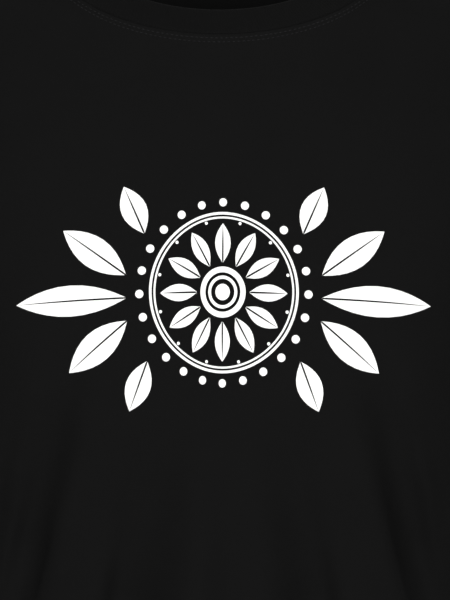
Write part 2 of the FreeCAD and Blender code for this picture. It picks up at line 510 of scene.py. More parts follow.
    def edge(self, ellipse: tuple, face: Face) -> Array:
        """A line round the neck on one panel, from the wearer's right to left.

        Args:
            ellipse: neck_seam or neck_top.
            face: the panel.

        Returns:
            The line's points.
        """
        level, half_width, front_drop, back_drop = ellipse
        turn = np.linspace(0, math.pi, NECK_STEPS + 1)
        x = -half_width * np.cos(turn)
        z = level - (front_drop if face is Face.FRONT else back_drop) * np.sin(turn)
        width, front, back = self.section(z)
        depth = front if face is Face.FRONT else back
        y = face.value * depth * np.sqrt(np.clip(1 - (x / width) ** 2, 0, 1))
        ends = np.abs(turn - math.pi / 2) > math.pi / 2 - 1e-9
        return np.stack([x, np.where(ends, 0.0, y), z], -1)

    def rim(self, ellipse: tuple, rounded: bool = True) -> Array:
        """A closed line round the neck: across the front from the right shoulder, and back behind.

        Args:
            ellipse: neck_seam or neck_top, or one between them.
            rounded: whether its corners at the shoulders are rounded off, as the stretched rib does.

        Returns:
            The line's points, about 1 mm apart, without its first point again at the end.
        """
        front, back = (spaced(self.edge(ellipse, face), NECK_STEPS) for face in (Face.FRONT, Face.BACK))
        loop = np.concatenate([front, back[-2:0:-1]])
        if not rounded:
            return loop
        steps = np.arange(-24, 25)
        weight = np.exp(-((steps / self.corner_blur) ** 2))
        soft = sum(share * np.roll(loop, k, axis=0) for share, k in zip(weight / weight.sum(), steps))
        past = np.arange(len(loop)) % NECK_STEPS
        corner = np.exp(-((np.minimum(past, NECK_STEPS - past) / self.corner_reach) ** 2))[:, None]
        return loop + corner * (soft - loop)

    def round_neck(self, bm: bmesh.types.BMesh) -> None:
        """Rounds off the neckline's corners at the shoulders, and takes the cloth beside them along.

        Args:
            bm: the draped cloth.
        """
        sharp, soft = self.rim(self.neck_seam, False)[::2], self.rim(self.neck_seam)[::2]
        place = np.array([vert.co[:] for vert in bm.verts])
        distance = np.linalg.norm(place[:, None] - sharp[None], axis=2)
        felt = np.exp(-((distance.min(1) / self.corner_pull) ** 2))[:, None]
        moved = (soft - sharp)[distance.argmin(1)] * felt
        for vert, spot in zip(bm.verts, place + moved):
            vert.co = spot
        bm.normal_update()

    def ridge_z(self, x: Array) -> Array:
        """The height of the shoulder's ridge at each distance from the middle."""
        z = np.linspace(0.03, -0.052, 200)
        return np.interp(x, self.section(z)[0], z)

    def place(self, cut: ShirtCut, face: Face, flat: Array) -> Array:
        """Lays a flat panel on the body, so that each point keeps its distance below the shoulder or the neckline.

        Args:
            cut: the pattern that the panel is from.
            face: the panel.
            flat: its flat grid.

        Returns:
            The grid's worn points.
        """
        x, y = np.abs(flat[..., 0]).ravel(), flat[..., 1].ravel()
        neck_flat, neck_worn = cut.neckline(face), self.edge(self.neck_seam, face)
        on_left = neck_flat[:, 0] > -1e-9
        share = lengths(neck_flat)[on_left] / lengths(neck_flat)[-1]
        worn = along(neck_worn, share)
        slope = cut.shoulder_y / (cut.shoulder_x - cut.neck_x)
        widen = (self.shoulder_x - cut.neck_x) / (cut.shoulder_x - cut.neck_x)
        at_neck = x <= cut.neck_x
        top = np.where(at_neck, np.interp(x, *neck_flat[on_left].T), (x - cut.neck_x) * slope)
        top_x = np.where(at_neck, np.interp(x, neck_flat[on_left][:, 0], worn[:, 0]),
                         np.minimum(cut.neck_x + (x - cut.neck_x) * widen, self.shoulder_x))
        top_z = np.where(at_neck, np.interp(x, neck_flat[on_left][:, 0], worn[:, 2]), self.ridge_z(top_x))
        # At the armpit's level a point's flat distance from the middle is its distance round the section.
        wide, *deep = self.section(np.array(self.armpit_z))
        turn = np.linspace(0, math.pi / 2, 80)
        oval = np.stack([wide * np.sin(turn), deep[face is Face.BACK] * np.cos(turn)], -1)
        low_x = np.interp(x / cut.half_chest, lengths(oval) / lengths(oval)[-1], oval[:, 0])
        # Down each column from its top, until the cloth's length is used.
        share_down = np.linspace(0, 1, self.column_points)[None] ** self.column_crowding
        z = top_z[:, None] + (self.column_end - top_z)[:, None] * share_down
        width, front, back = self.section(z)
        rise = np.clip((z - self.armpit_z) / (top_z - self.armpit_z)[:, None], 0, 1)
        across = low_x[:, None] * (1 - rise) + top_x[:, None] * rise
        across = np.where(z < self.armpit_z, low_x[:, None] * width / wide, across)
        across = np.minimum(across, width * self.column_inset)
        depth = (front if face is Face.FRONT else back) * np.sqrt(np.clip(1 - (across / width) ** 2, 0, 1))
        column = np.stack([across, depth, z], -1)
        run = np.cumsum(np.linalg.norm(np.diff(column, axis=1), axis=2), axis=1)
        run = np.concatenate([np.zeros((len(x), 1)), run], axis=1)
        want = np.clip(top - y, 0, None)
        at = np.clip((run < want[:, None]).sum(axis=1), 1, run.shape[1] - 1)
        row = np.arange(len(x))
        part = np.clip((want - run[row, at - 1]) / np.maximum(run[row, at] - run[row, at - 1], 1e-9), 0, 1)[:, None]
        found = column[row, at - 1] * (1 - part) + column[row, at] * part
        found[:, 0] *= np.sign(flat[..., 0]).ravel()
        found[:, 1] *= face.value
        return found.reshape(*flat.shape[:-1], 3)

    def seeded(self, face: Face, worn: Array) -> Array:
        """Presses a panel's folds into it before it is draped.

        Args:
            face: the panel.
            worn: its worn points.

        Returns:
            The points with the folds in them.
        """
        worn = worn.copy()
        for fold in self.seeds:
            if fold.face is face:
                worn[..., 1] -= face.value * fold.pushed(worn[..., 0], worn[..., 2])
        return worn

    def press(self, bm: bmesh.types.BMesh) -> None:
        """Sets the creases in the draped cloth, square to its surface.

        Args:
            bm: the draped cloth.
        """
        place = np.array([vert.co[:] for vert in bm.verts])
        normal = np.array([vert.normal[:] for vert in bm.verts])
        depth = sum(fold.pushed(place[:, 0], place[:, 2]) * (normal[:, 1] * fold.face.value > 0)
                    for fold in self.creases)
        for vert, spot in zip(bm.verts, place - normal * depth[:, None]):
            vert.co = spot
        bm.normal_update()

    def sleeve(self, hand: Hand, armhole: Array, rows: int) -> Array:
        """A sleeve between the armhole and its end ring.

        Args:
            hand: which sleeve.
            armhole: the armhole's points, from the armpit up the front and down the back.
            rows: how many cells run along the sleeve.

        Returns:
            The sleeve's worn grid, from its hem up.
        """
        centre_x, centre_z, tilt, radius = self.sleeve_end
        turn = np.linspace(0, 2 * math.pi, len(armhole))[:, None]
        angle, start = math.radians(tilt), math.radians(self.sleeve_start_tilt)
        outward = np.array([hand.value * math.cos(angle), 0, -math.sin(angle)])
        first = np.array([hand.value * math.cos(start), 0, -math.sin(start)])
        up = np.array([hand.value * math.sin(angle), 0, math.cos(angle)])
        centre = np.array([hand.value * centre_x, 0, centre_z])
        ring = centre - radius * (np.cos(turn) * up + np.sin(turn) * [0, 1, 0])
        reach = np.linalg.norm(ring - armhole, axis=1)[:, None]
        found = []
        for s in np.linspace(1, 0, rows + 1):
            found.append((2 * s**3 - 3 * s**2 + 1) * armhole + (s**3 - 2 * s**2 + s) * reach * first
                         + (3 * s**2 - 2 * s**3) * ring + (s**3 - s**2) * reach * outward)
        return np.array(found)


@dataclass
class DressForm:
    """The invisible form that the shirt is draped over: a trunk and the tops of two arms, in the wearer's stance."""

    # columns: z, half_width, front_depth, back_depth, and how square the front and the back are
    trunk: tuple = (
        (-0.780, 0.170, 0.109, 0.110, 3.4, 2.9),
        (-0.640, 0.172, 0.111, 0.114, 3.4, 2.9),
        (-0.480, 0.161, 0.106, 0.098, 3.4, 2.9),
        (-0.360, 0.162, 0.107, 0.091, 3.4, 2.9),
        (-0.270, 0.172, 0.110, 0.094, 3.4, 2.9),
        (-0.200, 0.179, 0.102, 0.097, 3.4, 2.9),
        (-0.130, 0.186, 0.087, 0.095, 3.0, 2.7),
        (-0.085, 0.194, 0.072, 0.082, 2.3, 2.3),
        (-0.056, 0.200, 0.062, 0.064, 2.0, 2.0),
        (-0.032, 0.166, 0.056, 0.049, 2.0, 2.0),
        (-0.008, 0.106, 0.053, 0.034, 2.0, 2.0),
        (0.012, 0.084, 0.052, 0.031, 2.0, 2.0),
        (0.040, 0.074, 0.051, 0.030, 2.0, 2.0),
    )
    # columns: x, z, radius
    arm: tuple = (
        (0.140, -0.108, 0.044),
        (0.172, -0.110, 0.051),
        (0.204, -0.126, 0.056),
        (0.232, -0.156, 0.053),
        (0.256, -0.192, 0.049),
        (0.292, -0.252, 0.046),
        (0.335, -0.325, 0.042),
        (0.360, -0.370, 0.040),
    )
    objects: list = field(default_factory=list)

    def tube(self, rings: Array) -> None:
        """Adds one closed tube, as something that cloth rests on.

        Args:
            rings: the rings of points that it passes through.
        """
        bm = laid(np.concatenate([rings, rings[:, :1]], axis=1))
        bmesh.ops.remove_doubles(bm, verts=bm.verts, dist=0.1 * MM)
        bmesh.ops.holes_fill(bm, edges=bm.edges, sides=0)
        bmesh.ops.recalc_face_normals(bm, faces=bm.faces)
        made = bpy.data.objects.new("form", to_mesh(bm, "form"))
        bpy.context.scene.collection.objects.link(made)
        made.modifiers.new("rest", "COLLISION")
        made.collision.thickness_outer = 2 * MM
        made.collision.cloth_friction = 5
        made.collision.damping = 0.5
        self.objects.append(made)

    def build(self) -> None:
        """Builds the trunk and both arms."""
        turn = np.linspace(0, 2 * math.pi, 96, endpoint=False)
        across, ahead = np.sin(turn), np.cos(turn)
        rings = []
        for z, width, front, back, front_square, back_square in smooth_rows(self.trunk, 6):
            depth = np.where(ahead > 0, front, back)
            power = 2 / np.where(ahead > 0, front_square, back_square)
            x = width * np.sign(across) * np.abs(across) ** power
            y = -depth * np.sign(ahead) * np.abs(ahead) ** power
            rings.append(np.stack([x, y, np.full(len(turn), z)], -1))
        self.tube(np.array(rings))
        rows = smooth_rows(self.arm, 4)
        turn = turn[::3, None]
        for hand in Hand:
            rings = []
            for i, (x, z, radius) in enumerate(rows):
                step = rows[min(i + 1, len(rows) - 1)] - rows[max(i - 1, 0)]
                up = np.array([-step[1], 0, step[0]]) / math.hypot(step[0], step[1])
                ring = np.array([x, 0, z]) + radius * (np.cos(turn) * up + np.sin(turn) * [0, 1, 0])
                rings.append(ring * [hand.value, 1, 1])
            self.tube(np.array(rings))

    def remove(self) -> None:
        """Takes the form away."""
        for made in self.objects:
            bpy.data.objects.remove(made)


# ---------------------------------------------------------------------------------------------------------------
# The drape


@dataclass
class ClothGrid:
    """One cut piece: its flat and worn grids, and where its points start in the whole shirt's list."""

    number: int
    flat: Array
    worn: Array
    turned: bool
    start: int = 0

    def index(self, row: int, column: int) -> int:
        """The number of a grid point in the whole shirt."""
        rows, columns = self.flat.shape[:2]
        return self.start + (row % rows) * columns + column % columns


@dataclass
class Drape:
    """Sews the cut pieces together and lets them settle on the dress form."""

    cut: ShirtCut
    shape: WornShape
    # Where the draped cloth is smoothed most: a band down the middle, the chest, and the sleeves' ends.
    middle_width: float = 0.07
    chest_low: float = -0.36
    chest_half: float = 0.19
    cuff_start: float = 0.2
    rounds: tuple[float, float, float, float] = (2, 8, 6, 12)  # everywhere, and how many more at each of these
    rim_rounds: float = 6  # how many more along the open edges
    grids: dict = field(default_factory=dict)
    sewn: list = field(default_factory=list)

    def lay_out(self) -> None:
        """Cuts the four pieces and puts each where it is worn."""
        for name, face in (("front", Face.FRONT), ("back", Face.BACK)):
            flat = self.cut.body(face)
            worn = self.shape.place(self.cut, face, flat)
            first = self.cut.shoulder_cells
            neck = spaced(self.shape.edge(self.shape.neck_seam, face), self.cut.neck_cells)
            worn[-1, first:first + self.cut.neck_cells + 1] = neck
            self.grids[name] = ClothGrid(len(self.grids), flat, self.shape.seeded(face, worn), face is Face.BACK)
        flat = self.cut.sleeve()
        low = self.cut.side_cells
        for name, hand, side in (("left", Hand.LEFT, -1), ("right", Hand.RIGHT, 0)):
            front, back = self.grids["front"].worn[low:, side], self.grids["back"].worn[low:, side]
            worn = self.shape.sleeve(hand, np.concatenate([front, back[-2::-1]]), self.cut.sleeve_cells)
            self.grids[name] = ClothGrid(len(self.grids), flat, worn, hand is Hand.RIGHT)
        start = 0
        for grid in self.grids.values():
            grid.start = start
            start += grid.worn[..., 0].size

    def sew(self) -> None:
        """Lists the pairs of points that the seams join."""
        front, back = self.grids["front"], self.grids["back"]
        cells, shoulder, low = self.cut.armhole_cells, self.cut.shoulder_cells, self.cut.side_cells
        pairs = [(front.index(j, i), back.index(j, i)) for j in range(low + 1) for i in (0, -1)]
        tops = [*range(shoulder + 1), *range(-shoulder - 1, 0)]
        pairs += [(front.index(-1, i), back.index(-1, i)) for i in tops]
        for name, side in (("left", -1), ("right", 0)):
            sleeve = self.grids[name]
            for k in range(cells + 1):
                pairs.append((sleeve.index(-1, k), front.index(low + k, side)))
                pairs.append((sleeve.index(-1, 2 * cells - k), back.index(low + k, side)))
            pairs += [(sleeve.index(j, 0), sleeve.index(j, -1)) for j in range(self.cut.sleeve_cells + 1)]
        self.sewn = sorted({pair for pair in pairs if pair[0] != pair[1]})

    def neck(self) -> list[int]:
        """Lists the points on the neckline, which hold the shirt up while it settles.

        Returns:
            Their numbers in the whole shirt.
        """
        first = self.cut.shoulder_cells
        around = range(first, first + self.cut.neck_cells + 1)
        return [self.grids[name].index(-1, i) for name in ("front", "back") for i in around]

    def cloth(self, points: Array) -> bmesh.types.BMesh:
        """Lays the four pieces through their points.

        Args:
            points: the points of the whole shirt.

        Returns:
            The pieces as one mesh, not sewn yet.
        """
        bm = bmesh.new()
        for grid in self.grids.values():
            rows, columns = grid.flat.shape[:2]
            own = points[grid.start:grid.start + rows * columns].reshape(rows, columns, 3)
            laid(own, grid.flat, bm, grid.number, grid.turned)
        bm.verts.ensure_lookup_table()
        return bm

    def settle(self) -> Array:
        """Drapes the sewn shirt, and gives its points.

        Returns:
            The points of the whole shirt, at rest.
        """
        worn = np.concatenate([grid.worn.reshape(-1, 3) for grid in self.grids.values()])
        flat = np.concatenate([grid.flat.reshape(-1, 2) for grid in self.grids.values()])
        bm = self.cloth(worn)
        for one, other in self.sewn:
            bm.edges.new((bm.verts[one], bm.verts[other]))
        cloth = bpy.data.objects.new("drape", to_mesh(bm, "drape"))
        scene = bpy.context.scene
        scene.collection.objects.link(cloth)
        cloth.shape_key_add(name="worn")
        cut = cloth.shape_key_add(name="cut")
        points = np.stack([flat[:, 0], np.zeros(len(flat)), flat[:, 1]], -1)
        cut.data.foreach_set("co", points.astype(np.float32).ravel())
        cut.value = 0
        held = cloth.vertex_groups.new(name="held")
        held.add(self.neck(), 1, "REPLACE")
        # The cloth reads its cut shape only behind a modifier that makes a mesh, which one plain copy does.
        cloth.modifiers.new("copy", "ARRAY").count = 1
        self.jersey(cloth.modifiers.new("cloth", "CLOTH"), held.name, cut)
        form = DressForm()
        form.build()
        scene.frame_start, scene.frame_end = 1, SIM_FRAMES
        for frame in range(1, SIM_FRAMES + 1):
            scene.frame_set(frame)
        rested = cloth.evaluated_get(bpy.context.evaluated_depsgraph_get())
        found = np.zeros(len(worn) * 3, np.float32)
        rested.data.vertices.foreach_get("co", found)
        bpy.data.objects.remove(cloth)
        form.remove()
        scene.frame_set(1)
        return found.reshape(-1, 3).astype(float)

    def jersey(self, modifier: bpy.types.ClothModifier, held: str, cut: bpy.types.ShapeKey) -> None:
        """Gives the cloth the weight, stretch and softness of cotton jersey.

        Args:
            modifier: the cloth's simulation.
            held: the name of the group of points that stay where they are.
            cut: the shape that the cloth was cut to, which says how long each thread is.
        """
        cloth = modifier.settings
        cloth.quality = 6
        cloth.mass = 0.3
        cloth.tension_stiffness = 40
        cloth.compression_stiffness = 20
        cloth.shear_stiffness = 10
        cloth.bending_stiffness = 3
        cloth.tension_damping = cloth.compression_damping = cloth.shear_damping = 5
        cloth.bending_damping = 0.5
        cloth.air_damping = 1
        cloth.vertex_group_mass = held
        cloth.pin_stiffness = 1
        cloth.use_sewing_springs = True
        cloth.rest_shape_key = cut
        meets = modifier.collision_settings
        meets.distance_min = 2 * MM
        meets.collision_quality = 3
        meets.damping = 0.5
        modifier.point_cache.frame_start = 1
        modifier.point_cache.frame_end = SIM_FRAMES

    def ironing(self, place: Vector) -> float:
        """How many times a point is smoothed: most down the middle, on the chest and at the sleeves' ends.

        Args:
            place: where the point is.

        Returns:
            The number of rounds, which needn't be whole.
        """
        everywhere, middle, chest, cuff = self.rounds
        middle *= math.exp(-((place.x / self.middle_width) ** 2))
        chest *= min(max((place.z - self.chest_low) / 0.1, 0), 1) * (abs(place.x) < self.chest_half)
        cuff *= min(max((abs(place.x) - self.cuff_start) / 0.05, 0), 1)
        return everywhere + middle + chest + cuff

    def joined(self, points: Array) -> bmesh.types.BMesh:
        """Closes the seams and takes the grid's own noise out of the cloth.

        Args:
            points: the settled points.

        Returns:
            The whole shirt as one mesh, its seams sewn shut.
        """
        leader = np.arange(len(points))
        for one, other in self.sewn:
            low, high = sorted((leader[one], leader[other]))
            leader[leader == high] = low
        total = np.zeros_like(points)
        np.add.at(total, leader, points)
        mean = total / np.maximum(np.bincount(leader, minlength=len(points)), 1)[:, None]
        bm = self.cloth(mean[leader])
        verts = list(bm.verts)
        held = {verts[leader[i]] for i in self.neck()}
        target = {verts[i]: verts[k] for i, k in enumerate(leader) if i != k}
        bmesh.ops.weld_verts(bm, targetmap=target)
        inner = [vert for vert in bm.verts if not vert.is_boundary and vert not in held]
        rounds = [self.ironing(vert.co) for vert in inner]
        for k in range(math.ceil(max(rounds))):
            soft = [vert for vert, many in zip(inner, rounds) if many > k]
            bmesh.ops.smooth_vert(bm, verts=soft, factor=0.5, use_axis_x=True, use_axis_y=True, use_axis_z=True)
        # The open edges are smoothed along their own line.
        rim = [vert for vert in bm.verts if vert.is_boundary and vert not in held]
        beside = [[edge.other_vert(vert) for edge in vert.link_edges if edge.is_boundary] for vert in rim]
        rounds = [self.rim_rounds + self.ironing(vert.co) for vert in rim]
        for k in range(math.ceil(max(rounds))):
            middle = [(one.co + other.co) / 2 for one, other in beside]
            for vert, place, many in zip(rim, middle, rounds):
                vert.co = vert.co.lerp(place, 0.5 * (many > k))
        return bm

    def run(self) -> bmesh.types.BMesh:
        """Cuts, sews and drapes the shirt.

        Returns:
            The whole shirt as one mesh. Its faces carry their piece's number, and its UV map is the flat pattern.
        """
        self.lay_out()
        self.sew()
        return self.joined(self.settle())


# ---------------------------------------------------------------------------------------------------------------
# The finished cloth of each piece


@dataclass
class Shell:
    """The draped cloth of one cut piece, and the way from its flat pattern to where the cloth is worn."""

    mesh: bpy.types.Mesh
    tree: BVHTree = None
    corners: Array = None
    spots: Array = None
    normals: Array = None

    def __post_init__(self) -> None:
        """Reads the mesh once, so that points can be found on it."""
        mesh = self.mesh
        mesh.calc_loop_triangles()
        uv = np.zeros(len(mesh.loops) * 2, np.float32)
        mesh.uv_layers[0].uv.foreach_get("vector", uv)
        owner = np.zeros(len(mesh.loops), np.int32)
        mesh.loops.foreach_get("vertex_index", owner)
        loops = np.zeros(len(mesh.loop_triangles) * 3, np.int32)
        mesh.loop_triangles.foreach_get("loops", loops)
        loops = loops.reshape(-1, 3)
        flat = uv.reshape(-1, 2).astype(float)
        at, facing = np.zeros(len(mesh.vertices) * 3, np.float32), np.zeros(len(mesh.vertices) * 3, np.float32)
        mesh.vertices.foreach_get("co", at)
        mesh.vertices.foreach_get("normal", facing)
        self.corners = flat[loops]
        self.spots = at.reshape(-1, 3)[owner][loops].astype(float)
        self.normals = facing.reshape(-1, 3)[owner][loops].astype(float)
        self.tree = BVHTree.FromPolygons([(x, y, 0) for x, y in flat.tolist()], loops.tolist())

    def find(self, flat: Array) -> tuple[Array, Array]:
        """Finds flat points on the worn cloth.

        Args:
            flat: the points, as x and y on the flat pattern.

        Returns:
            Each point's place on the cloth, and the cloth's outward normal there.
        """
        asked = np.asarray(flat, float).reshape(-1, 2)
        found = [self.tree.find_nearest((x, y, 0)) for x, y in asked.tolist()]
        place = np.array([hit[0][:2] for hit in found])
        face = np.array([hit[2] for hit in found])
        a, b, c = (self.corners[face, k] for k in range(3))
        area = (b[:, 0] - a[:, 0]) * (c[:, 1] - a[:, 1]) - (c[:, 0] - a[:, 0]) * (b[:, 1] - a[:, 1])
        q = place - a
        v = (q[:, 0] * (c[:, 1] - a[:, 1]) - (c[:, 0] - a[:, 0]) * q[:, 1]) / area
        w = ((b[:, 0] - a[:, 0]) * q[:, 1] - q[:, 0] * (b[:, 1] - a[:, 1])) / area
        share = np.stack([1 - v - w, v, w], -1)[:, :, None]
        normal = (share * self.normals[face]).sum(1)
        normal /= np.linalg.norm(normal, axis=1, keepdims=True)
        shape = (*np.asarray(flat).shape[:-1], 3)
        return (share * self.spots[face]).sum(1).reshape(shape), normal.reshape(shape)

    def lifted(self, flat: Array, lift: float | Array) -> Array:
        """Points on the worn cloth, raised off its outer face by lift."""
        place, normal = self.find(flat)
        return place + normal * np.asarray(lift)[..., None]


def shells(bm: bmesh.types.BMesh, shape: WornShape, ditch: float = 0.6 * MM) -> dict[str, Shell]:
    """Refines the sewn shirt, sinks its seams, and takes it apart into its four pieces.

    Args:
        bm: the whole shirt, whose faces carry their piece's number.
        shape: the worn shape, for the neck seam's place.
        ditch: how deep a seam lies below the cloth beside it.

    Returns:
        The pieces by name.
    """
    coarse = bpy.data.objects.new("coarse", to_mesh(bm, "coarse"))
    bpy.context.scene.collection.objects.link(coarse)
    finer = coarse.modifiers.new("finer", "SUBSURF")
    finer.levels = finer.render_levels = 1
    finer.boundary_smooth = "PRESERVE_CORNERS"
    graph = bpy.context.evaluated_depsgraph_get()
    whole = bpy.data.meshes.new_from_object(coarse.evaluated_get(graph), depsgraph=graph)
    bpy.data.objects.remove(coarse)
    fine = bmesh.new()
    fine.from_mesh(whole)
    uv = fine.loops.layers.uv.active
    fine.normal_update()
    shape.round_neck(fine)
    shape.press(fine)
    seams = []
    for vert in fine.verts:
        cut_at = {(loop.face.material_index, *(round(c, 4) for c in loop[uv].uv)) for loop in vert.link_loops}
        at_neck = vert.is_boundary and vert.co.z > shape.neck_seam[0] - shape.neck_seam[2] - MM
        if len(cut_at) > 1 or at_neck:
            seams.append(vert)
    for vert, normal in [(vert, vert.normal.copy()) for vert in seams]:
        vert.co -= ditch * normal
    found = {}
    for number, name in enumerate(("front", "back", "left", "right")):
        own = fine.copy()
        bmesh.ops.delete(own, geom=[face for face in own.faces if face.material_index != number], context="FACES")
        for face in own.faces:
            face.material_index = 0
        found[name] = Shell(to_mesh(own, f"{name}_shell"))
    fine.free()
    return found


def strip(shell: Shell, line: Array, section: Sequence[tuple[float, float]]) -> bmesh.types.BMesh:
    """Lays a closed band of one section along a line on the cloth.

    Args:
        shell: the cloth.
        line: the band's line on the flat pattern. What is on its left side is positive.
        section: the band's section, as distances to the side of the line and heights off the cloth's outer face.

    Returns:
        The band's mesh, with its flat place as its UV map.
    """
    step = np.gradient(line, axis=0)
    side = np.stack([-step[:, 1], step[:, 0]], -1) / np.linalg.norm(step, axis=1, keepdims=True)
    out, lift = np.array([*section, section[0]]).T
    flat = line[:, None] + side[:, None] * out[None, :, None]
    bm = laid(shell.lifted(flat, np.broadcast_to(lift, flat.shape[:2])), flat)
    bmesh.ops.remove_doubles(bm, verts=bm.verts, dist=0.01 * MM)
    bmesh.ops.holes_fill(bm, edges=bm.edges, sides=0)
    bmesh.ops.recalc_face_normals(bm, faces=bm.faces)
    return bm


@dataclass
class Sewing:
    """Rows of stitches of one thread, made as one piece."""

    length: float = 2.5 * MM
    pitch: float = 3.0 * MM
    width: float = 0.62 * MM
    height: float = 0.42 * MM
    bm: bmesh.types.BMesh = None

    def row(self, shell: Shell, line: Array, lift: float = 0.05 * MM) -> None:
        """Sews a row along a line on the cloth.

        Args:
            shell: the cloth.
            line: the row's line on the flat pattern.
            lift: how high the thread's middle lies over the cloth.
        """
        self.bm = self.bm or bmesh.new()
        many = round(lengths(line)[-1] / self.pitch)
        middle = (np.arange(many) + 0.5) / many
        half = 0.5 * self.length / lengths(line)[-1]
        place, normal = shell.find(along(line, middle))
        ahead = shell.find(along(line, middle + half))[0] - shell.find(along(line, middle - half))[0]
        for spot, up, forward in zip(place + lift * normal, normal, ahead):
            forward = Vector(forward).normalized()
            up = Vector(up)
            across = up.cross(forward).normalized()
            turn = Matrix((forward, across, up)).transposed().to_4x4()
            size = Matrix.Diagonal((self.length / 2, self.width / 2, self.height / 2, 1))
            matrix = Matrix.Translation(spot) @ turn @ size
            bmesh.ops.create_icosphere(self.bm, subdivisions=1, radius=1, matrix=matrix)

    def mesh(self, name: str) -> bpy.types.Mesh:
        """The stitches as one mesh."""
        return to_mesh(self.bm, name)


# ---------------------------------------------------------------------------------------------------------------
# Finishes


def linear(colour: str) -> tuple[float, float, float, float]:
    """An sRGB hex colour as linear light."""
    parts = [int(colour[i:i + 2], 16) / 255 for i in (1, 3, 5)]
    return (*(c / 12.92 if c <= 0.04045 else ((c + 0.055) / 1.055) ** 2.4 for c in parts), 1.0)


def add(tree: bpy.types.NodeTree, kind: str, inputs: dict | Sequence = (), **settings: object) -> bpy.types.Node:
    """Adds a shader node.

    Args:
        tree: the material's nodes.
        kind: the node's kind, without the word ShaderNode.
        inputs: values, sockets or other nodes, in the order of the inputs or by their names or numbers. A node stands
            for its first output.
        settings: the node's own settings.

    Returns:
        The node.
    """
    made = tree.nodes.new(f"ShaderNode{kind}")
    for name, value in settings.items():
        setattr(made, name, value)
    for name, value in inputs.items() if isinstance(inputs, dict) else enumerate(inputs):
        if isinstance(value, bpy.types.Node):
            value = value.outputs[0]
        if isinstance(value, bpy.types.NodeSocket):
            tree.links.new(value, made.inputs[name])
        else:
            made.inputs[name].default_value = value
    return made


def flat_mm(tree: bpy.types.NodeTree) -> tuple[bpy.types.Node, bpy.types.NodeSocket, bpy.types.NodeSocket]:
    """A piece's place on the flat cloth, in millimetres.

    Args:
        tree: the material's nodes.

    Returns:
        The place as a vector, and then how far across and how far along it is.
    """
    uv = add(tree, "UVMap", uv_map=FLAT_MAP)
    scaled = add(tree, "VectorMath", (uv, (1000, 1000, 1000)), operation="MULTIPLY")
    parts = add(tree, "SeparateXYZ", (scaled,)).outputs
    return scaled, parts[0], parts[1]


@dataclass(frozen=True)
class Finish:
    """What every finish has: its common name, its main colours, and how rough it is."""

    name: str
    # dark is the colour where the texture is low and the cloudy patches are dark, partly painted shade in the
    # texture's hollows; light is the colour where both are high
    dark: str
    light: str
    roughness: float

    def height(self, tree: bpy.types.NodeTree) -> bpy.types.Node:
        """The height of the surface's own texture, from 0 to 1."""
        raise NotImplementedError

    def shader(self) -> dict:
        """The shader's own even settings."""
        return {}

    @property
    def relief(self) -> tuple[float, float]:
        """The texture's depth, and how strongly it shows."""
        return 0.1 * MM, 0.5

    def material(self) -> bpy.types.Material:
        """The finish as a material, whose tone and gloss follow its texture and faint cloudy patches. Its colour is
        darker where the texture is low, which is painted shade in the texture's hollows.

        Returns:
            The material, which all pieces of this finish share.
        """
        found = bpy.data.materials.get(self.name)
        if found:
            return found
        made = bpy.data.materials.new(self.name)
        made.use_nodes = True
        tree = made.node_tree
        tree.nodes.clear()
        height = self.height(tree)
        place = add(tree, "TexCoord").outputs["Object"]
        cloudy = add(tree, "TexNoise", {"Vector": place, "Scale": 1 / CLOUD, "Detail": 3, "Roughness": 0.55})
        # The colour follows the texture's height, which paints shade into its hollows, mixed with the cloudy patches'
        # uneven tone.
        parts = [add(tree, "Math", part, operation="MULTIPLY") for part in ((height, 0.65), (cloudy, 0.35))]
        tone = add(tree, "Math", parts, operation="ADD")
        colour = add(tree, "Mix", {0: tone, 6: linear(self.dark), 7: linear(self.light)}, data_type="RGBA")
        depth, strength = self.relief
        bump = add(tree, "Bump", {"Height": height, "Distance": depth, "Strength": strength})
        rough = add(tree, "MapRange", {0: cloudy, 3: self.roughness - 0.05, 4: self.roughness + 0.05})
        values = {"Base Color": colour.outputs[2], "Roughness": rough, "Normal": bump, **self.shader()}
        shader = add(tree, "BsdfPrincipled", values)
        add(tree, "OutputMaterial", (shader,))
        return made


@dataclass(frozen=True)
class Jersey(Finish):
    """Cotton single jersey: fine upright columns of V stitches, soft and matt."""

    wale: float = 1.1  # mm. The real columns are 0.7 mm apart, and are drawn wider so that they show.
    course: float = 0.95  # mm, drawn larger by as much
    slub: float = 2.4  # mm, the length of the yarn's thick and thin places

    def height(self, tree: bpy.types.NodeTree) -> bpy.types.Node:
        """Columns of V stitches, with the yarn's own unevenness.

        Args:
            tree: the material's nodes.

        Returns:
            The node that gives the height.
        """
        place, across, along_it = flat_mm(tree)
        column = add(tree, "Math", (across, self.wale), operation="DIVIDE")
        side = add(tree, "Math", (column, 0.5), operation="PINGPONG")
        phase = add(tree, "Math", (side, 2 * math.pi), operation="MULTIPLY")
        ridge = add(tree, "Math", (phase,), operation="SINE")
        course = add(tree, "Math", (along_it, self.course), operation="DIVIDE")
        slanted = add(tree, "Math", (course, side), operation="ADD")
        phase = add(tree, "Math", (slanted, 2 * math.pi), operation="MULTIPLY")
        stitch = add(tree, "Math", (phase,), operation="SINE")
        bulge = add(tree, "Math", (stitch, 0.25, 0.6), operation="MULTIPLY_ADD")
        knit = add(tree, "Math", (ridge, bulge), operation="MULTIPLY")
        shallow = add(tree, "Math", (knit, 0.6), operation="MULTIPLY")
        slub = add(tree, "TexNoise", {"Vector": place, "Scale": 1 / self.slub, "Detail": 4, "Roughness": 0.55})
        return add(tree, "Math", (slub, 0.55, shallow), operation="MULTIPLY_ADD")

    def shader(self) -> dict:
        """Dry cotton has almost no gloss."""
        return {"Specular IOR Level": 0.036}

    @property
    def relief(self) -> tuple[float, float]:
        """A knit's shallow relief."""
        return 0.17 * MM, 0.75


@dataclass(frozen=True)
class RibKnit(Jersey):
    """1x1 rib: the same yarn as the jersey. Its ridges are in the mesh, and this adds the stitches on them."""

    wale: float = 1.0  # mm
    course: float = 0.9  # mm


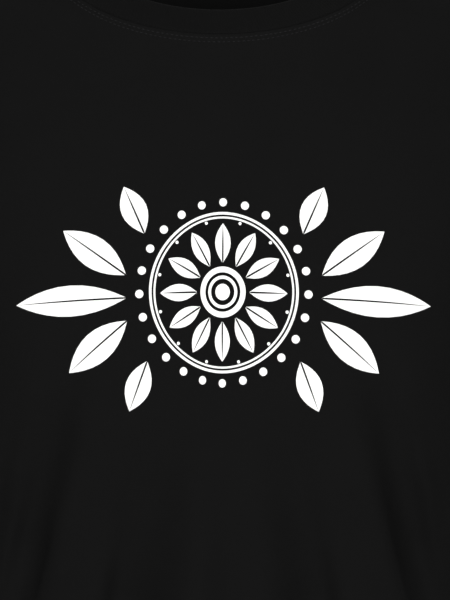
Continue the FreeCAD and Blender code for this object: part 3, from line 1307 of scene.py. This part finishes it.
@dataclass(frozen=True)
class Thread(Finish):
    """Spun polyester sewing thread: two plies twisted together, smoother than the cloth, so each stitch glints."""

    twist: float = 0.4 * MM

    def height(self, tree: bpy.types.NodeTree) -> bpy.types.Node:
        """The twist of the plies."""
        place = add(tree, "TexCoord").outputs["Object"]
        return add(tree, "TexNoise", {"Vector": place, "Scale": 1 / self.twist, "Detail": 2, "Roughness": 0.55})

    def shader(self) -> dict:
        """A soft gloss."""
        return {"Specular IOR Level": 0.1}


@dataclass(frozen=True)
class Ink(Finish):
    """Plastisol screen ink: a rubbery opaque film, smoother than the cloth, through which the knit still shows."""

    grain: float = 1.2  # mm

    def height(self, tree: bpy.types.NodeTree) -> bpy.types.Node:
        """The knit below, softened by the film.

        Args:
            tree: the material's nodes.

        Returns:
            The node that gives the height.
        """
        place, across, _ = flat_mm(tree)
        phase = add(tree, "Math", (across, 2 * math.pi / JERSEY.wale), operation="MULTIPLY")
        ridge = add(tree, "Math", (phase,), operation="SINE")
        grain = add(tree, "TexNoise", {"Vector": place, "Scale": 1 / self.grain, "Detail": 3, "Roughness": 0.55})
        film = add(tree, "Math", (grain, 0.5, 0.3), operation="MULTIPLY_ADD")
        return add(tree, "Math", (ridge, 0.2, film), operation="MULTIPLY_ADD")

    def shader(self) -> dict:
        """A faint rubbery gloss."""
        return {"Specular IOR Level": 0.35}

    @property
    def relief(self) -> tuple[float, float]:
        """The film fills most of the knit."""
        return 0.08 * MM, 0.3


@dataclass(frozen=True)
class Woven(Finish):
    """A narrow woven tape: diagonal twill for the neck tape, and fine satin for the label."""

    pitch: float = 0.8  # mm, from one diagonal wale to the next, measured across the tape
    slub: float = 1.5  # mm

    def height(self, tree: bpy.types.NodeTree) -> bpy.types.Node:
        """Diagonal wales, with the yarn's own unevenness.

        Args:
            tree: the material's nodes.

        Returns:
            The node that gives the height.
        """
        place, across, along_it = flat_mm(tree)
        slant = add(tree, "Math", (across, along_it), operation="ADD")
        wale = add(tree, "Math", (slant, self.pitch), operation="DIVIDE")
        phase = add(tree, "Math", (wale, 2 * math.pi), operation="MULTIPLY")
        wave = add(tree, "Math", (phase,), operation="SINE")
        slub = add(tree, "TexNoise", {"Vector": place, "Scale": 1 / self.slub, "Detail": 2, "Roughness": 0.55})
        yarn = add(tree, "Math", (slub, 0.6), operation="MULTIPLY")
        return add(tree, "Math", (wave, 0.35, yarn), operation="MULTIPLY_ADD")


def seen(tree: bpy.types.NodeTree) -> bpy.types.Node:
    """Tells rays that are seen from rays that carry light.

    Args:
        tree: the nodes of a material or of the world.

    Returns:
        A node that gives 1 for a ray from the camera, straight or by way of gloss or glass, and 0 for any other.
    """
    ray = add(tree, "LightPath").outputs
    reflected = add(tree, "Math", (ray["Is Glossy Ray"], ray["Is Transmission Ray"]), operation="MAXIMUM")
    return add(tree, "Math", (ray["Is Camera Ray"], reflected), operation="MAXIMUM")


@dataclass(frozen=True)
class StudioFloor:
    """Pale matt paint that looks as even as the sky behind it, and still shows the shirt's shadow."""

    name: str = "pale matt paint"
    colour: str = "#e6e5e3"
    shaded: str = "#626261"  # the part of the pale colour that follows light and shadow
    glow: float = 0.70  # the even rest

    def material(self) -> bpy.types.Material:
        """The floor's paint as a material.

        Returns:
            The material.
        """
        made = bpy.data.materials.new(self.name)
        made.use_nodes = True
        tree = made.node_tree
        tree.nodes.clear()
        paint = add(tree, "BsdfDiffuse", (linear(self.colour),))
        dim = add(tree, "BsdfDiffuse", (linear(self.shaded),))
        even = add(tree, "Emission", (linear("#ffffff"), self.glow))
        pale = add(tree, "AddShader", (dim, even))
        mix = add(tree, "MixShader", (seen(tree), paint, pale))
        add(tree, "OutputMaterial", (mix,))
        return made


JERSEY = Jersey("black cotton jersey", "#050505", "#101010", 0.7)
RIB = RibKnit("black cotton rib", "#040404", "#0d0d0d", 0.7)
THREAD = Thread("black spun polyester thread", "#0f0f10", "#1c1c1d", 0.5)
INK = Ink("white plastisol ink", "#e6e6e4", "#f6f6f5", 0.5)
TAPE = Woven("black cotton twill tape", "#101010", "#252526", 0.85, 1.2)
SATIN = Woven("white satin label", "#d8d8d4", "#efefec", 0.42, 0.5)
FLOOR = StudioFloor()


def placed(mesh: bpy.types.Mesh, name: str, finish: Finish, slot: str, *replaced: str) -> bpy.types.Object:
    """Makes a mesh a piece of the shirt.

    Args:
        mesh: the piece's mesh.
        name: the piece's name.
        finish: its finish.
        slot: the name of a material slot of the record; not used.
        replaced: the CAD nodes that it stands for.

    Returns:
        The piece.
    """
    mesh.name = name
    made = bpy.data.objects.new(name, mesh)
    bpy.context.scene.collection.objects.link(made)
    mesh.materials.clear()
    mesh.materials.append(finish.material())
    mesh.polygons.foreach_set("use_smooth", [True] * len(mesh.polygons))
    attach(made, "root")
    for node in replaced:
        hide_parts(node)
    LOG.info("%s: %d faces", name, len(mesh.polygons))
    return made


# ---------------------------------------------------------------------------------------------------------------
# The sub-assemblies


@dataclass
class Cloths:
    """The four cut pieces of jersey."""

    cut: ShirtCut
    shells: dict[str, Shell]
    thickness: float = 1.0 * MM

    def piece(self, key: str, name: str, node: str) -> bpy.types.Object:
        """Gives one piece its thickness and its finish.

        Args:
            key: the piece's shell.
            name: the piece's name.
            node: the CAD node that it stands for.

        Returns:
            The piece.
        """
        made = placed(self.shells[key].mesh.copy(), name, JERSEY, "jersey", node)
        thick = made.modifiers.new("thickness", "SOLIDIFY")
        thick.thickness = self.thickness
        thick.offset = -1
        return made

    def build(self) -> dict[str, bpy.types.Object]:
        """Builds the front, the back and both sleeves."""
        names = {"front": "front_panel", "back": "back_panel", "left": "sleeve_left", "right": "sleeve_right"}
        return {key: self.piece(key, f"{node}_cloth", node) for key, node in names.items()}

    def declare(self) -> None:
        """Works out the sleeve's cut and each body panel's cut area, but keeps none of them.
        """
        sleeve = self.cut.sleeve()
        for key, face in (("front", Face.FRONT), ("back", Face.BACK)):
            area = grid_area(self.cut.body(face))


@dataclass
class Collar:
    """The folded rib round the neck, its cover stitches, the tape inside the back of it and the seam's turnings."""

    cut: ShirtCut
    shape: WornShape
    shells: dict[str, Shell]
    rib_pitch: float = 2.0 * MM
    rib_depth: float = 0.12 * MM
    height: float = 17 * MM
    cut_size: tuple[float, float] = (0.046, 0.52)
    rows: tuple[float, float] = (2.6 * MM, 4.9 * MM)  # how far below the seam each row of stitches runs
    tape_width: float = 10 * MM
    # The rib's section from inside the seam, up its outside and down its inside: a share of its height, and how far
    # it stands off the body in mm.
    section: tuple = (
        (-0.06, -1.5), (-0.01, -0.75), (0.03, -0.15), (0.09, 0.15), (0.22, 0.25), (0.4, 0.28), (0.58, 0.28),
        (0.76, 0.26), (0.9, 0.2), (0.98, -0.05), (1.03, -0.6), (1.045, -1.2), (1.03, -1.8), (0.98, -2.3),
        (0.88, -2.5), (0.6, -2.6), (0.3, -2.6), (0.05, -2.5),
    )
    middle: float = -1.2  # in mm, the depth of the section's middle between its outer and its inner face

    def around(self, share: float, columns: int) -> Array:
        """A closed line round the neck.

        Args:
            share: how far up the rib it runs, as a share of its height.
            columns: how many steps it has.

        Returns:
            The line's points, with the first again at the end.
        """
        low, high = np.array(self.shape.neck_seam), np.array(self.shape.neck_top)
        loop = self.shape.rim(tuple(low + (high - low) * share))
        return spaced(np.concatenate([loop, loop[:1]]), columns)

    def rib(self) -> bpy.types.Object:
        """Builds the rib itself, with its ridges.

        Returns:
            The piece.
        """
        seam = self.around(0, 400)
        columns = 4 * round(lengths(seam)[-1] / self.rib_pitch)  # crest, slope, valley and slope
        share, off = np.array(self.section).T
        lines = np.array([self.around(t, columns) for t in share])
        guide = np.array([self.around(t, columns) for t in (0, 0.5, 1)])
        ahead = np.roll(guide[1, :-1], -1, axis=0) - np.roll(guide[1, :-1], 1, axis=0)
        ahead = np.concatenate([ahead, ahead[:1]])
        normal = np.cross(ahead, guide[2] - guide[0])
        normal /= np.linalg.norm(normal, axis=1, keepdims=True)
        wave = np.cos(np.arange(columns + 1) * math.pi / 2) * self.rib_depth
        ridged = wave * np.sign(off - self.middle)[:, None]
        points = lines + normal[None] * (off[:, None] * MM + ridged)[..., None]
        run = lengths(seam)[-1] * np.linspace(0, 1, columns + 1)
        flat = np.stack(np.broadcast_arrays(run[None], (share * self.height)[:, None]), -1)
        bm = laid(points, flat)
        bmesh.ops.remove_doubles(bm, verts=bm.verts, dist=0.02 * MM)
        made = placed(to_mesh(bm, "rib"), "neck_rib_band", RIB, "rib", "neck_rib")
        return made

    def stitches(self) -> bpy.types.Object:
        """Sews the cover stitches just below the rib.

        Returns:
            The piece.
        """
        sewing = Sewing()
        for face, key in ((Face.FRONT, "front"), (Face.BACK, "back")):
            for out in self.rows:
                sewing.row(self.shells[key], self.cut.neckline(face, out))
        return placed(sewing.mesh("neck_stitches"), "neck_stitches", THREAD, "seam")

    def turnings(self) -> bpy.types.Object:
        """Lays the neck seam's turnings flat against the inside of the cloth.

        Returns:
            The piece.
        """
        bm = bmesh.new()
        for face, key in ((Face.FRONT, "front"), (Face.BACK, "back")):
            line = spaced(self.cut.neckline(face, 3.2 * MM), 120)
            outline = ((-3.2, -1.1), (-3.2, -2.2), (0, -2.4), (3, -2.3), (3.2, -1.7), (3, -1.1))
            mesh = to_mesh(strip(self.shells[key], line, [(x * MM, z * MM) for x, z in outline]), "part")
            bm.from_mesh(mesh)
            bpy.data.meshes.remove(mesh)
        return placed(to_mesh(bm, "turnings"), "neck_seam_turnings", RIB, "seam")

    def tape(self) -> bpy.types.Object:
        """Covers the back of the neck seam with tape, from shoulder to shoulder.

        Returns:
            The piece.
        """
        half, round_off = self.tape_width / 2, 0.5 * MM
        line = spaced(self.cut.neckline(Face.BACK, half - 1 * MM), 120)[2:-2]
        outline = ((-half, -2.5), (-half, -3.2), (-half + round_off, -3.4), (half - round_off, -3.4), (half, -3.2),
                   (half, -1.3), (half - round_off, -1.2))
        band = strip(self.shells["back"], line, [(x, z * MM) for x, z in outline])
        return placed(to_mesh(band, "tape"), "neck_tape_band", TAPE, "seam", "neck_tape")


@dataclass
class Hem:
    """A hem: the cloth turned up inside, its rounded fold, and two rows of cover stitches."""

    name: str
    height: float
    node: str
    # Each run of the hem: its shell, its line on the flat pattern from one end to the other.
    runs: list[tuple[Shell, Array]]
    # The fold's rounded edge, in mm: how far below the hem's line, and how far off the cloth's outer face.
    fold: tuple = ((0.0, 0.0), (0.35, -0.05), (0.75, -0.35), (1.0, -1.05), (0.8, -1.75), (0.35, -2.1), (0.0, -2.15))
    # The turned-up layer: a share of the hem's height, and how far off the cloth's outer face in mm.
    layer: tuple = ((0.25, -2.2), (0.5, -2.2), (0.75, -2.2), (0.97, -2.2), (1.0, -1.9), (1.0, -1.05))
    rows: tuple[float, float] = (1.5 * MM, 6.5 * MM)  # how far below the hem's top each row of stitches runs

    def build(self) -> list[bpy.types.Object]:
        """Builds the turned-up layer and the stitches.

        Returns:
            The two pieces.
        """
        columns = []
        up = np.array([0.0, 1.0])
        for shell, line in self.runs:
            base, normal = shell.find(line)
            rise = shell.find(line + up * 3 * MM)[0] - base
            rise /= np.linalg.norm(rise, axis=1, keepdims=True)
            rows = [base - rise * down * MM + normal * lift * MM for down, lift in self.fold]
            rows += [shell.lifted(line + up * self.height * share, np.full(len(line), lift * MM))
                     for share, lift in self.layer]
            columns.append(np.array(rows))
        points = np.concatenate(columns, axis=1)
        shares = [share for share, _ in self.layer[:-1]] + [1.04]
        height = [-down * MM for down, _ in self.fold] + [self.height * share for share in shares]
        flat = np.stack(np.broadcast_arrays(lengths(points[0])[None], np.array(height)[:, None]), -1)
        bm = laid(points, flat, turned=True)
        bmesh.ops.remove_doubles(bm, verts=bm.verts, dist=0.02 * MM)
        turned_up = placed(to_mesh(bm, self.name), f"{self.name}_turned_up", JERSEY, "jersey", self.node)
        sewing = Sewing()
        for shell, line in self.runs:
            for below in self.rows:
                sewing.row(shell, line + up * (self.height - below))
            sewing.row(shell, line + up * (self.height - 0.4 * MM), -2.3 * MM)
        return [turned_up, placed(sewing.mesh("stitches"), f"{self.name}_stitches", THREAD, "seam")]


@dataclass
class Seams:
    """The overlocked turnings inside the side seams, the shoulders, the armholes and under the sleeves."""

    cut: ShirtCut
    shells: dict[str, Shell]
    width: float = 7 * MM

    def turning(self, shell: Shell, line: Array, name: str, node: str | None) -> bpy.types.Object:
        """Lays one turning on the inside of the cloth.

        Args:
            shell: the cloth.
            line: the turning's line on the flat pattern.
            name: the piece's name.
            node: the CAD node that it stands for, if there is one.

        Returns:
            The piece.
        """
        outline = ((-1, -1.05), (-1, -2.3), (0, -2.5), (0.9, -2.3), (1.0, -1.7), (0.9, -1.05))
        cells = max(12, round(lengths(line)[-1] / (5 * MM)))
        bm = strip(shell, spaced(line, cells), [(x * self.width / 2, z * MM) for x, z in outline])
        return placed(to_mesh(bm, name), name, JERSEY, "seam", *([node] if node else []))

    def build(self) -> dict[str, list[bpy.types.Object]]:
        """Builds all turnings.

        Returns:
            The pieces, by the shell that they lie on.
        """
        cut, half = self.cut, self.width / 2
        found = {"back": [], "left": [], "right": []}
        cap = cut.cap_line(float(cut.sleeve()[..., 1].max()) - cut.underarm)
        for key, hand in (("left", Hand.LEFT), ("right", Hand.RIGHT)):
            x = hand.value * (cut.half_chest - half)
            side = np.array([(x, cut.hem_y + cut.body_hem + 1 * MM), (x, cut.armpit_y - 3 * MM)])
            found["back"].append(self.turning(self.shells["back"], side, f"side_turning_{key}", f"side_seam_{key}"))
            tip = np.array([hand.value * (cut.shoulder_x - 2 * MM), cut.shoulder_y])
            neck = np.array([hand.value * (cut.neck_x + 3 * MM), 0.0])
            lower = (0, -half * 1.1)
            found["back"].append(self.turning(self.shells["back"], np.array([neck, tip]) + lower,
                                              f"shoulder_turning_{key}", f"shoulder_seam_{key}"))
            inward = spaced(cap, 120)
            step = np.gradient(inward, axis=0)
            inner = np.stack([step[:, 1], -step[:, 0]], -1) / np.linalg.norm(step, axis=1, keepdims=True)
            inward = inward + inner * half
            found[key].append(self.turning(self.shells[key], inward[3:-3], f"armhole_turning_{key}",
                                           f"armhole_seam_{key}"))
            under = np.array([(-cut.sleeve_hem_x + half, cut.sleeve_hem + 1 * MM),
                              (-cut.bicep_x + half, cut.underarm - 4 * MM)])
            found[key].append(self.turning(self.shells[key], under, f"sleeve_turning_{key}", None))
        return found


@dataclass
class CareLabel:
    """A blank folded label, sewn into the left side seam, inside."""

    cut: ShirtCut
    shell: Shell
    width: float = 25 * MM
    length: float = 45 * MM
    above_hem: float = 100 * MM
    droop: float = 0.18  # how far its free end hangs down, as a share of its length
    # Along the folded strip: a share of the label's length, and how far it lies inside the cloth's outer face in mm.
    path: tuple = (
        (0, 1.6), (0.25, 2.0), (0.5, 2.4), (0.75, 2.6), (0.95, 2.5), (1.0, 2.8), (1.0, 3.2), (0.95, 3.6), (0.75, 3.8),
        (0.5, 3.6), (0.25, 3.0), (0, 2.2),
    )

    def build(self) -> bpy.types.Object:
        """Builds the label as one folded strip.

        Returns:
            The piece.
        """
        share, depth = np.array(self.path).T
        reach, lift = share * self.length, -depth * MM
        up = np.linspace(0, self.width, 9)
        y = self.cut.hem_y + self.above_hem + up[:, None] - self.droop * reach[None]
        x = np.broadcast_to(self.cut.half_chest - 1 * MM - reach, y.shape)
        place = self.shell.lifted(np.stack([x, y], -1), np.broadcast_to(lift, x.shape))
        run = np.concatenate([reach[:6], 2 * self.length - reach[6:]])
        bm = laid(place, np.stack(np.broadcast_arrays(run[None], up[:, None]), -1))
        made = placed(to_mesh(bm, "label"), "care_label_fold", SATIN, "label", "care_label")
        return made


@dataclass
class ChestOrnament:
    """A printed ornament of rings, petals, dots and leaf sprays, in one light ink on the front."""

    shell: Shell
    centre: tuple[float, float] = (0.003, -0.266)
    lift: float = 0.16 * MM
    mesh_step: float = 3 * MM
    # columns: inner radius, outer radius, in mm
    rings: tuple = ((0, 5), (8, 10), (12, 15.5), (45, 46.2), (47.4, 49))
    # columns: count, from, to, width
    petals: tuple = ((12, 18, 42, 10.5),)
    # columns: count, radius of the circle, radius of a dot, and by how many steps they are turned
    dots: tuple = ((24, 55, 2.6, 0.0), (12, 43.5, 1.0, 0.5))
    # One side's leaves, mirrored on the other. Columns: root x, root y, angle from across, length, width
    leaves: tuple = (
        (63, -2, 0, 69, 19),
        (63, 12, 38, 48, 19),
        (63, -16, -38, 48, 19),
        (51, 37, 68, 32, 16),
        (51, -41, -68, 32, 16),
    )
    vein: float = 1.1

    def disc(self, bm: bmesh.types.BMesh, x: float, y: float, radius: float, inner: float = 0.0) -> None:
        """Adds a disc or a ring. All sizes are in mm.

        Args:
            bm: the ornament's mesh.
            x: how far right its middle is.
            y: how far up its middle is.
            radius: its radius.
            inner: the radius of its hole, or 0 for a disc.
        """
        sides = 14 if radius < 4 else 96
        at = Matrix.Translation((x * MM, y * MM, 0))
        outer = bmesh.ops.create_circle(bm, segments=sides, radius=radius * MM, matrix=at, cap_ends=not inner)
        if inner:
            hole = bmesh.ops.create_circle(bm, segments=sides, radius=inner * MM, matrix=at)
            edges = {edge for vert in [*outer["verts"], *hole["verts"]] for edge in vert.link_edges}
            bmesh.ops.bridge_loops(bm, edges=list(edges))

    def leaf(self, bm: bmesh.types.BMesh, x: float, y: float, angle: float, length: float, width: float) -> None:
        """Adds a leaf or petal, in two halves with a bare vein between them. All sizes are in mm.

        Args:
            bm: the ornament's mesh.
            x: how far right its root is.
            y: how far up its root is.
            angle: which way it points, in radians.
            length: its length.
            width: its greatest width.
        """
        turn = Matrix.Translation((x * MM, y * MM, 0)) @ Matrix.Rotation(angle, 4, "Z")
        for side in (-1, 1):
            verts = bmesh.ops.create_circle(bm, segments=28, radius=1, cap_ends=True)["verts"]
            for vert in verts:
                share = (1 - vert.co.x) / 2
                full = width / 2 * 4 * share * (1 - share)
                bare = self.vein / 2 * (1 - share**3)
                edge = max(full, bare) if vert.co.y > 0 else min(bare, full)
                vert.co = (share * length * MM, side * edge * MM, 0)
            bmesh.ops.remove_doubles(bm, verts=verts, dist=0.05 * MM)
            bmesh.ops.transform(bm, matrix=turn, verts=[vert for vert in verts if vert.is_valid])

    def build(self) -> bpy.types.Object:
        """Draws the ornament flat, divides it finely, and lays it on the cloth.

        Returns:
            The piece.
        """
        bm = bmesh.new()
        for inner, outer in self.rings:
            self.disc(bm, 0, 0, outer, inner)
        for count, start, end, width in self.petals:
            for i in range(count):
                angle = 2 * math.pi * i / count
                self.leaf(bm, start * math.cos(angle), start * math.sin(angle), angle, end - start, width)
        for count, radius, size, turned in self.dots:
            for i in range(count):
                angle = 2 * math.pi * (i + turned) / count
                self.disc(bm, radius * math.cos(angle), radius * math.sin(angle), size)
        for x, y, angle, length, width in self.leaves:
            turn = math.radians(angle)
            self.leaf(bm, x, y, turn, length, width)
            self.leaf(bm, -x, y, math.pi - turn, length, width)
        bmesh.ops.translate(bm, verts=bm.verts, vec=(*self.centre, 0))
        flat = np.array([vert.co[:2] for vert in bm.verts])
        low, high = flat.min(0), flat.max(0)
        for axis in (0, 1):
            for cut_at in np.arange(low[axis] + self.mesh_step / 2, high[axis], self.mesh_step):
                point, normal = [0.0, 0.0, 0.0], [0.0, 0.0, 0.0]
                point[axis], normal[axis] = cut_at, 1.0
                whole = [*bm.verts, *bm.edges, *bm.faces]
                bmesh.ops.bisect_plane(bm, geom=whole, dist=1e-7, plane_co=point, plane_no=normal)
        bmesh.ops.triangulate(bm, faces=bm.faces)
        uv = bm.loops.layers.uv.new(FLAT_MAP)
        for face in bm.faces:
            for loop in face.loops:
                loop[uv].uv = loop.vert.co.xy
        verts = list(bm.verts)
        flat = np.array([vert.co[:2] for vert in verts])
        for vert, place in zip(verts, self.shell.lifted(flat, np.full(len(flat), self.lift))):
            vert.co = place
        for face in bm.faces:
            face.normal_update()
        wrong = [face for face in bm.faces if face.normal.y > 0]
        bmesh.ops.reverse_faces(bm, faces=wrong)
        return placed(to_mesh(bm, "ornament"), "chest_ornament", INK, "print", "chest_print")


# ---------------------------------------------------------------------------------------------------------------
# The studio


@dataclass
class Studio:
    """The pale floor, the soft light and the camera."""

    floor_z: float
    # columns: place, watts, size. Each faces the chest.
    lamps: tuple = (
        ((-0.75, -3.0, 0.15), 52.0, 1.2),
        ((0.8, -3.0, 0.05), 48.0, 1.2),
        ((0.0, -0.3, 2.4), 16.0, 2.0),
        ((-1.7, 2.4, 0.8), 40.0, 1.6),
        ((1.7, 2.4, 0.6), 36.0, 1.6),
    )
    lit: tuple[float, float, float] = (0.0, 0.0, -0.3)  # where every lamp points
    sky: str = "#e9e9e8"
    sky_light: float = 0.12
    floor_radius: float = 14.0
    look_at: tuple[float, float, float] = (0.0036, -0.112, -0.229)
    frame_height: float = 0.364
    distance: float = 2.0
    sensor: float = 36.0  # mm, the height of the camera's film, which is its longer side

    def floor(self) -> None:
        """A wide floor below the shirt."""
        bm = bmesh.new()
        level = Matrix.Translation((0, 0, self.floor_z))
        bmesh.ops.create_circle(bm, cap_ends=True, segments=96, radius=self.floor_radius, matrix=level)
        made = bpy.data.objects.new("floor", to_mesh(bm, "floor"))
        made.data.materials.append(FLOOR.material())
        bpy.context.scene.collection.objects.link(made)
        made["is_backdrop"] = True

    def light(self) -> None:
        """Large soft lamps all round, and an even pale sky."""
        for i, (place, watts, size) in enumerate(self.lamps):
            lamp = bpy.data.lights.new(f"softbox_{i}", "AREA")
            lamp.energy, lamp.size, lamp.shape = watts, size, "DISK"
            made = bpy.data.objects.new(f"softbox_{i}", lamp)
            made.location = place
            aim = Vector(self.lit) - Vector(place)
            made.rotation_euler = aim.to_track_quat("-Z", "Y").to_euler()
            bpy.context.scene.collection.objects.link(made)
        world = bpy.data.worlds.new("studio")
        bpy.context.scene.world = world
        world.use_nodes = True
        tree = world.node_tree
        tree.nodes.clear()
        soft = add(tree, "Background", (linear("#ffffff"), self.sky_light))
        pale = add(tree, "Background", (linear(self.sky), 1.0))
        mix = add(tree, "MixShader", (seen(tree), soft, pale))
        add(tree, "OutputWorld", (mix,))

    def camera(self) -> None:
        """A long lens, level with the chest."""
        camera = bpy.data.cameras.new("camera")
        camera.sensor_width = self.sensor
        camera.lens = self.sensor * self.distance / self.frame_height
        made = bpy.data.objects.new("camera", camera)
        made.location = Vector(self.look_at) - Vector((0, self.distance, 0))
        made.rotation_euler = (math.pi / 2, 0, 0)
        bpy.context.scene.collection.objects.link(made)
        bpy.context.scene.camera = made

    def build(self) -> None:
        """Sets up the whole studio."""
        self.floor()
        self.light()
        self.camera()
        bpy.context.scene.view_settings.view_transform = "Standard"


def main() -> None:
    """Builds the shirt, then the studio around it."""
    logging.basicConfig(level=logging.INFO, format="%(name)s: %(message)s")
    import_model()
    cut, shape = ShirtCut(), WornShape()
    cloth = shells(Drape(cut, shape).run(), shape)
    LOG.info("the cloth is draped")

    cloths = Cloths(cut, cloth)
    made = cloths.build()
    collar = Collar(cut, shape, cloth)
    rib = collar.rib()
    others = {"front": [collar.stitches(), collar.turnings()], "back": [collar.tape()], "left": [], "right": []}

    wide = np.linspace(-cut.half_chest, cut.half_chest, 130)
    lines = [np.stack([x, np.full(len(x), cut.hem_y)], -1) for x in (wide, wide[::-1])]
    runs = [(cloth["front"], lines[0]), (cloth["back"], lines[1])]
    others["front"] += Hem("bottom_hem", cut.body_hem, "bottom_hem", runs).build()
    cuff = np.linspace(-cut.sleeve_hem_x, cut.sleeve_hem_x, 100)
    for key in ("left", "right"):
        line = np.stack([cuff, np.zeros(len(cuff))], -1)
        others[key] += Hem(f"sleeve_hem_{key}", cut.sleeve_hem, f"sleeve_hem_{key}", [(cloth[key], line)]).build()
    for key, pieces in Seams(cut, cloth).build().items():
        others[key] += pieces
    CareLabel(cut, cloth["front"]).build()
    others["front"].append(ChestOrnament(cloth["front"]).build())
    cloths.declare()

    lowest = min(corner[2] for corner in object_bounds())
    Studio(lowest - 2 * MM).build()


if __name__ == "__main__":
    main()
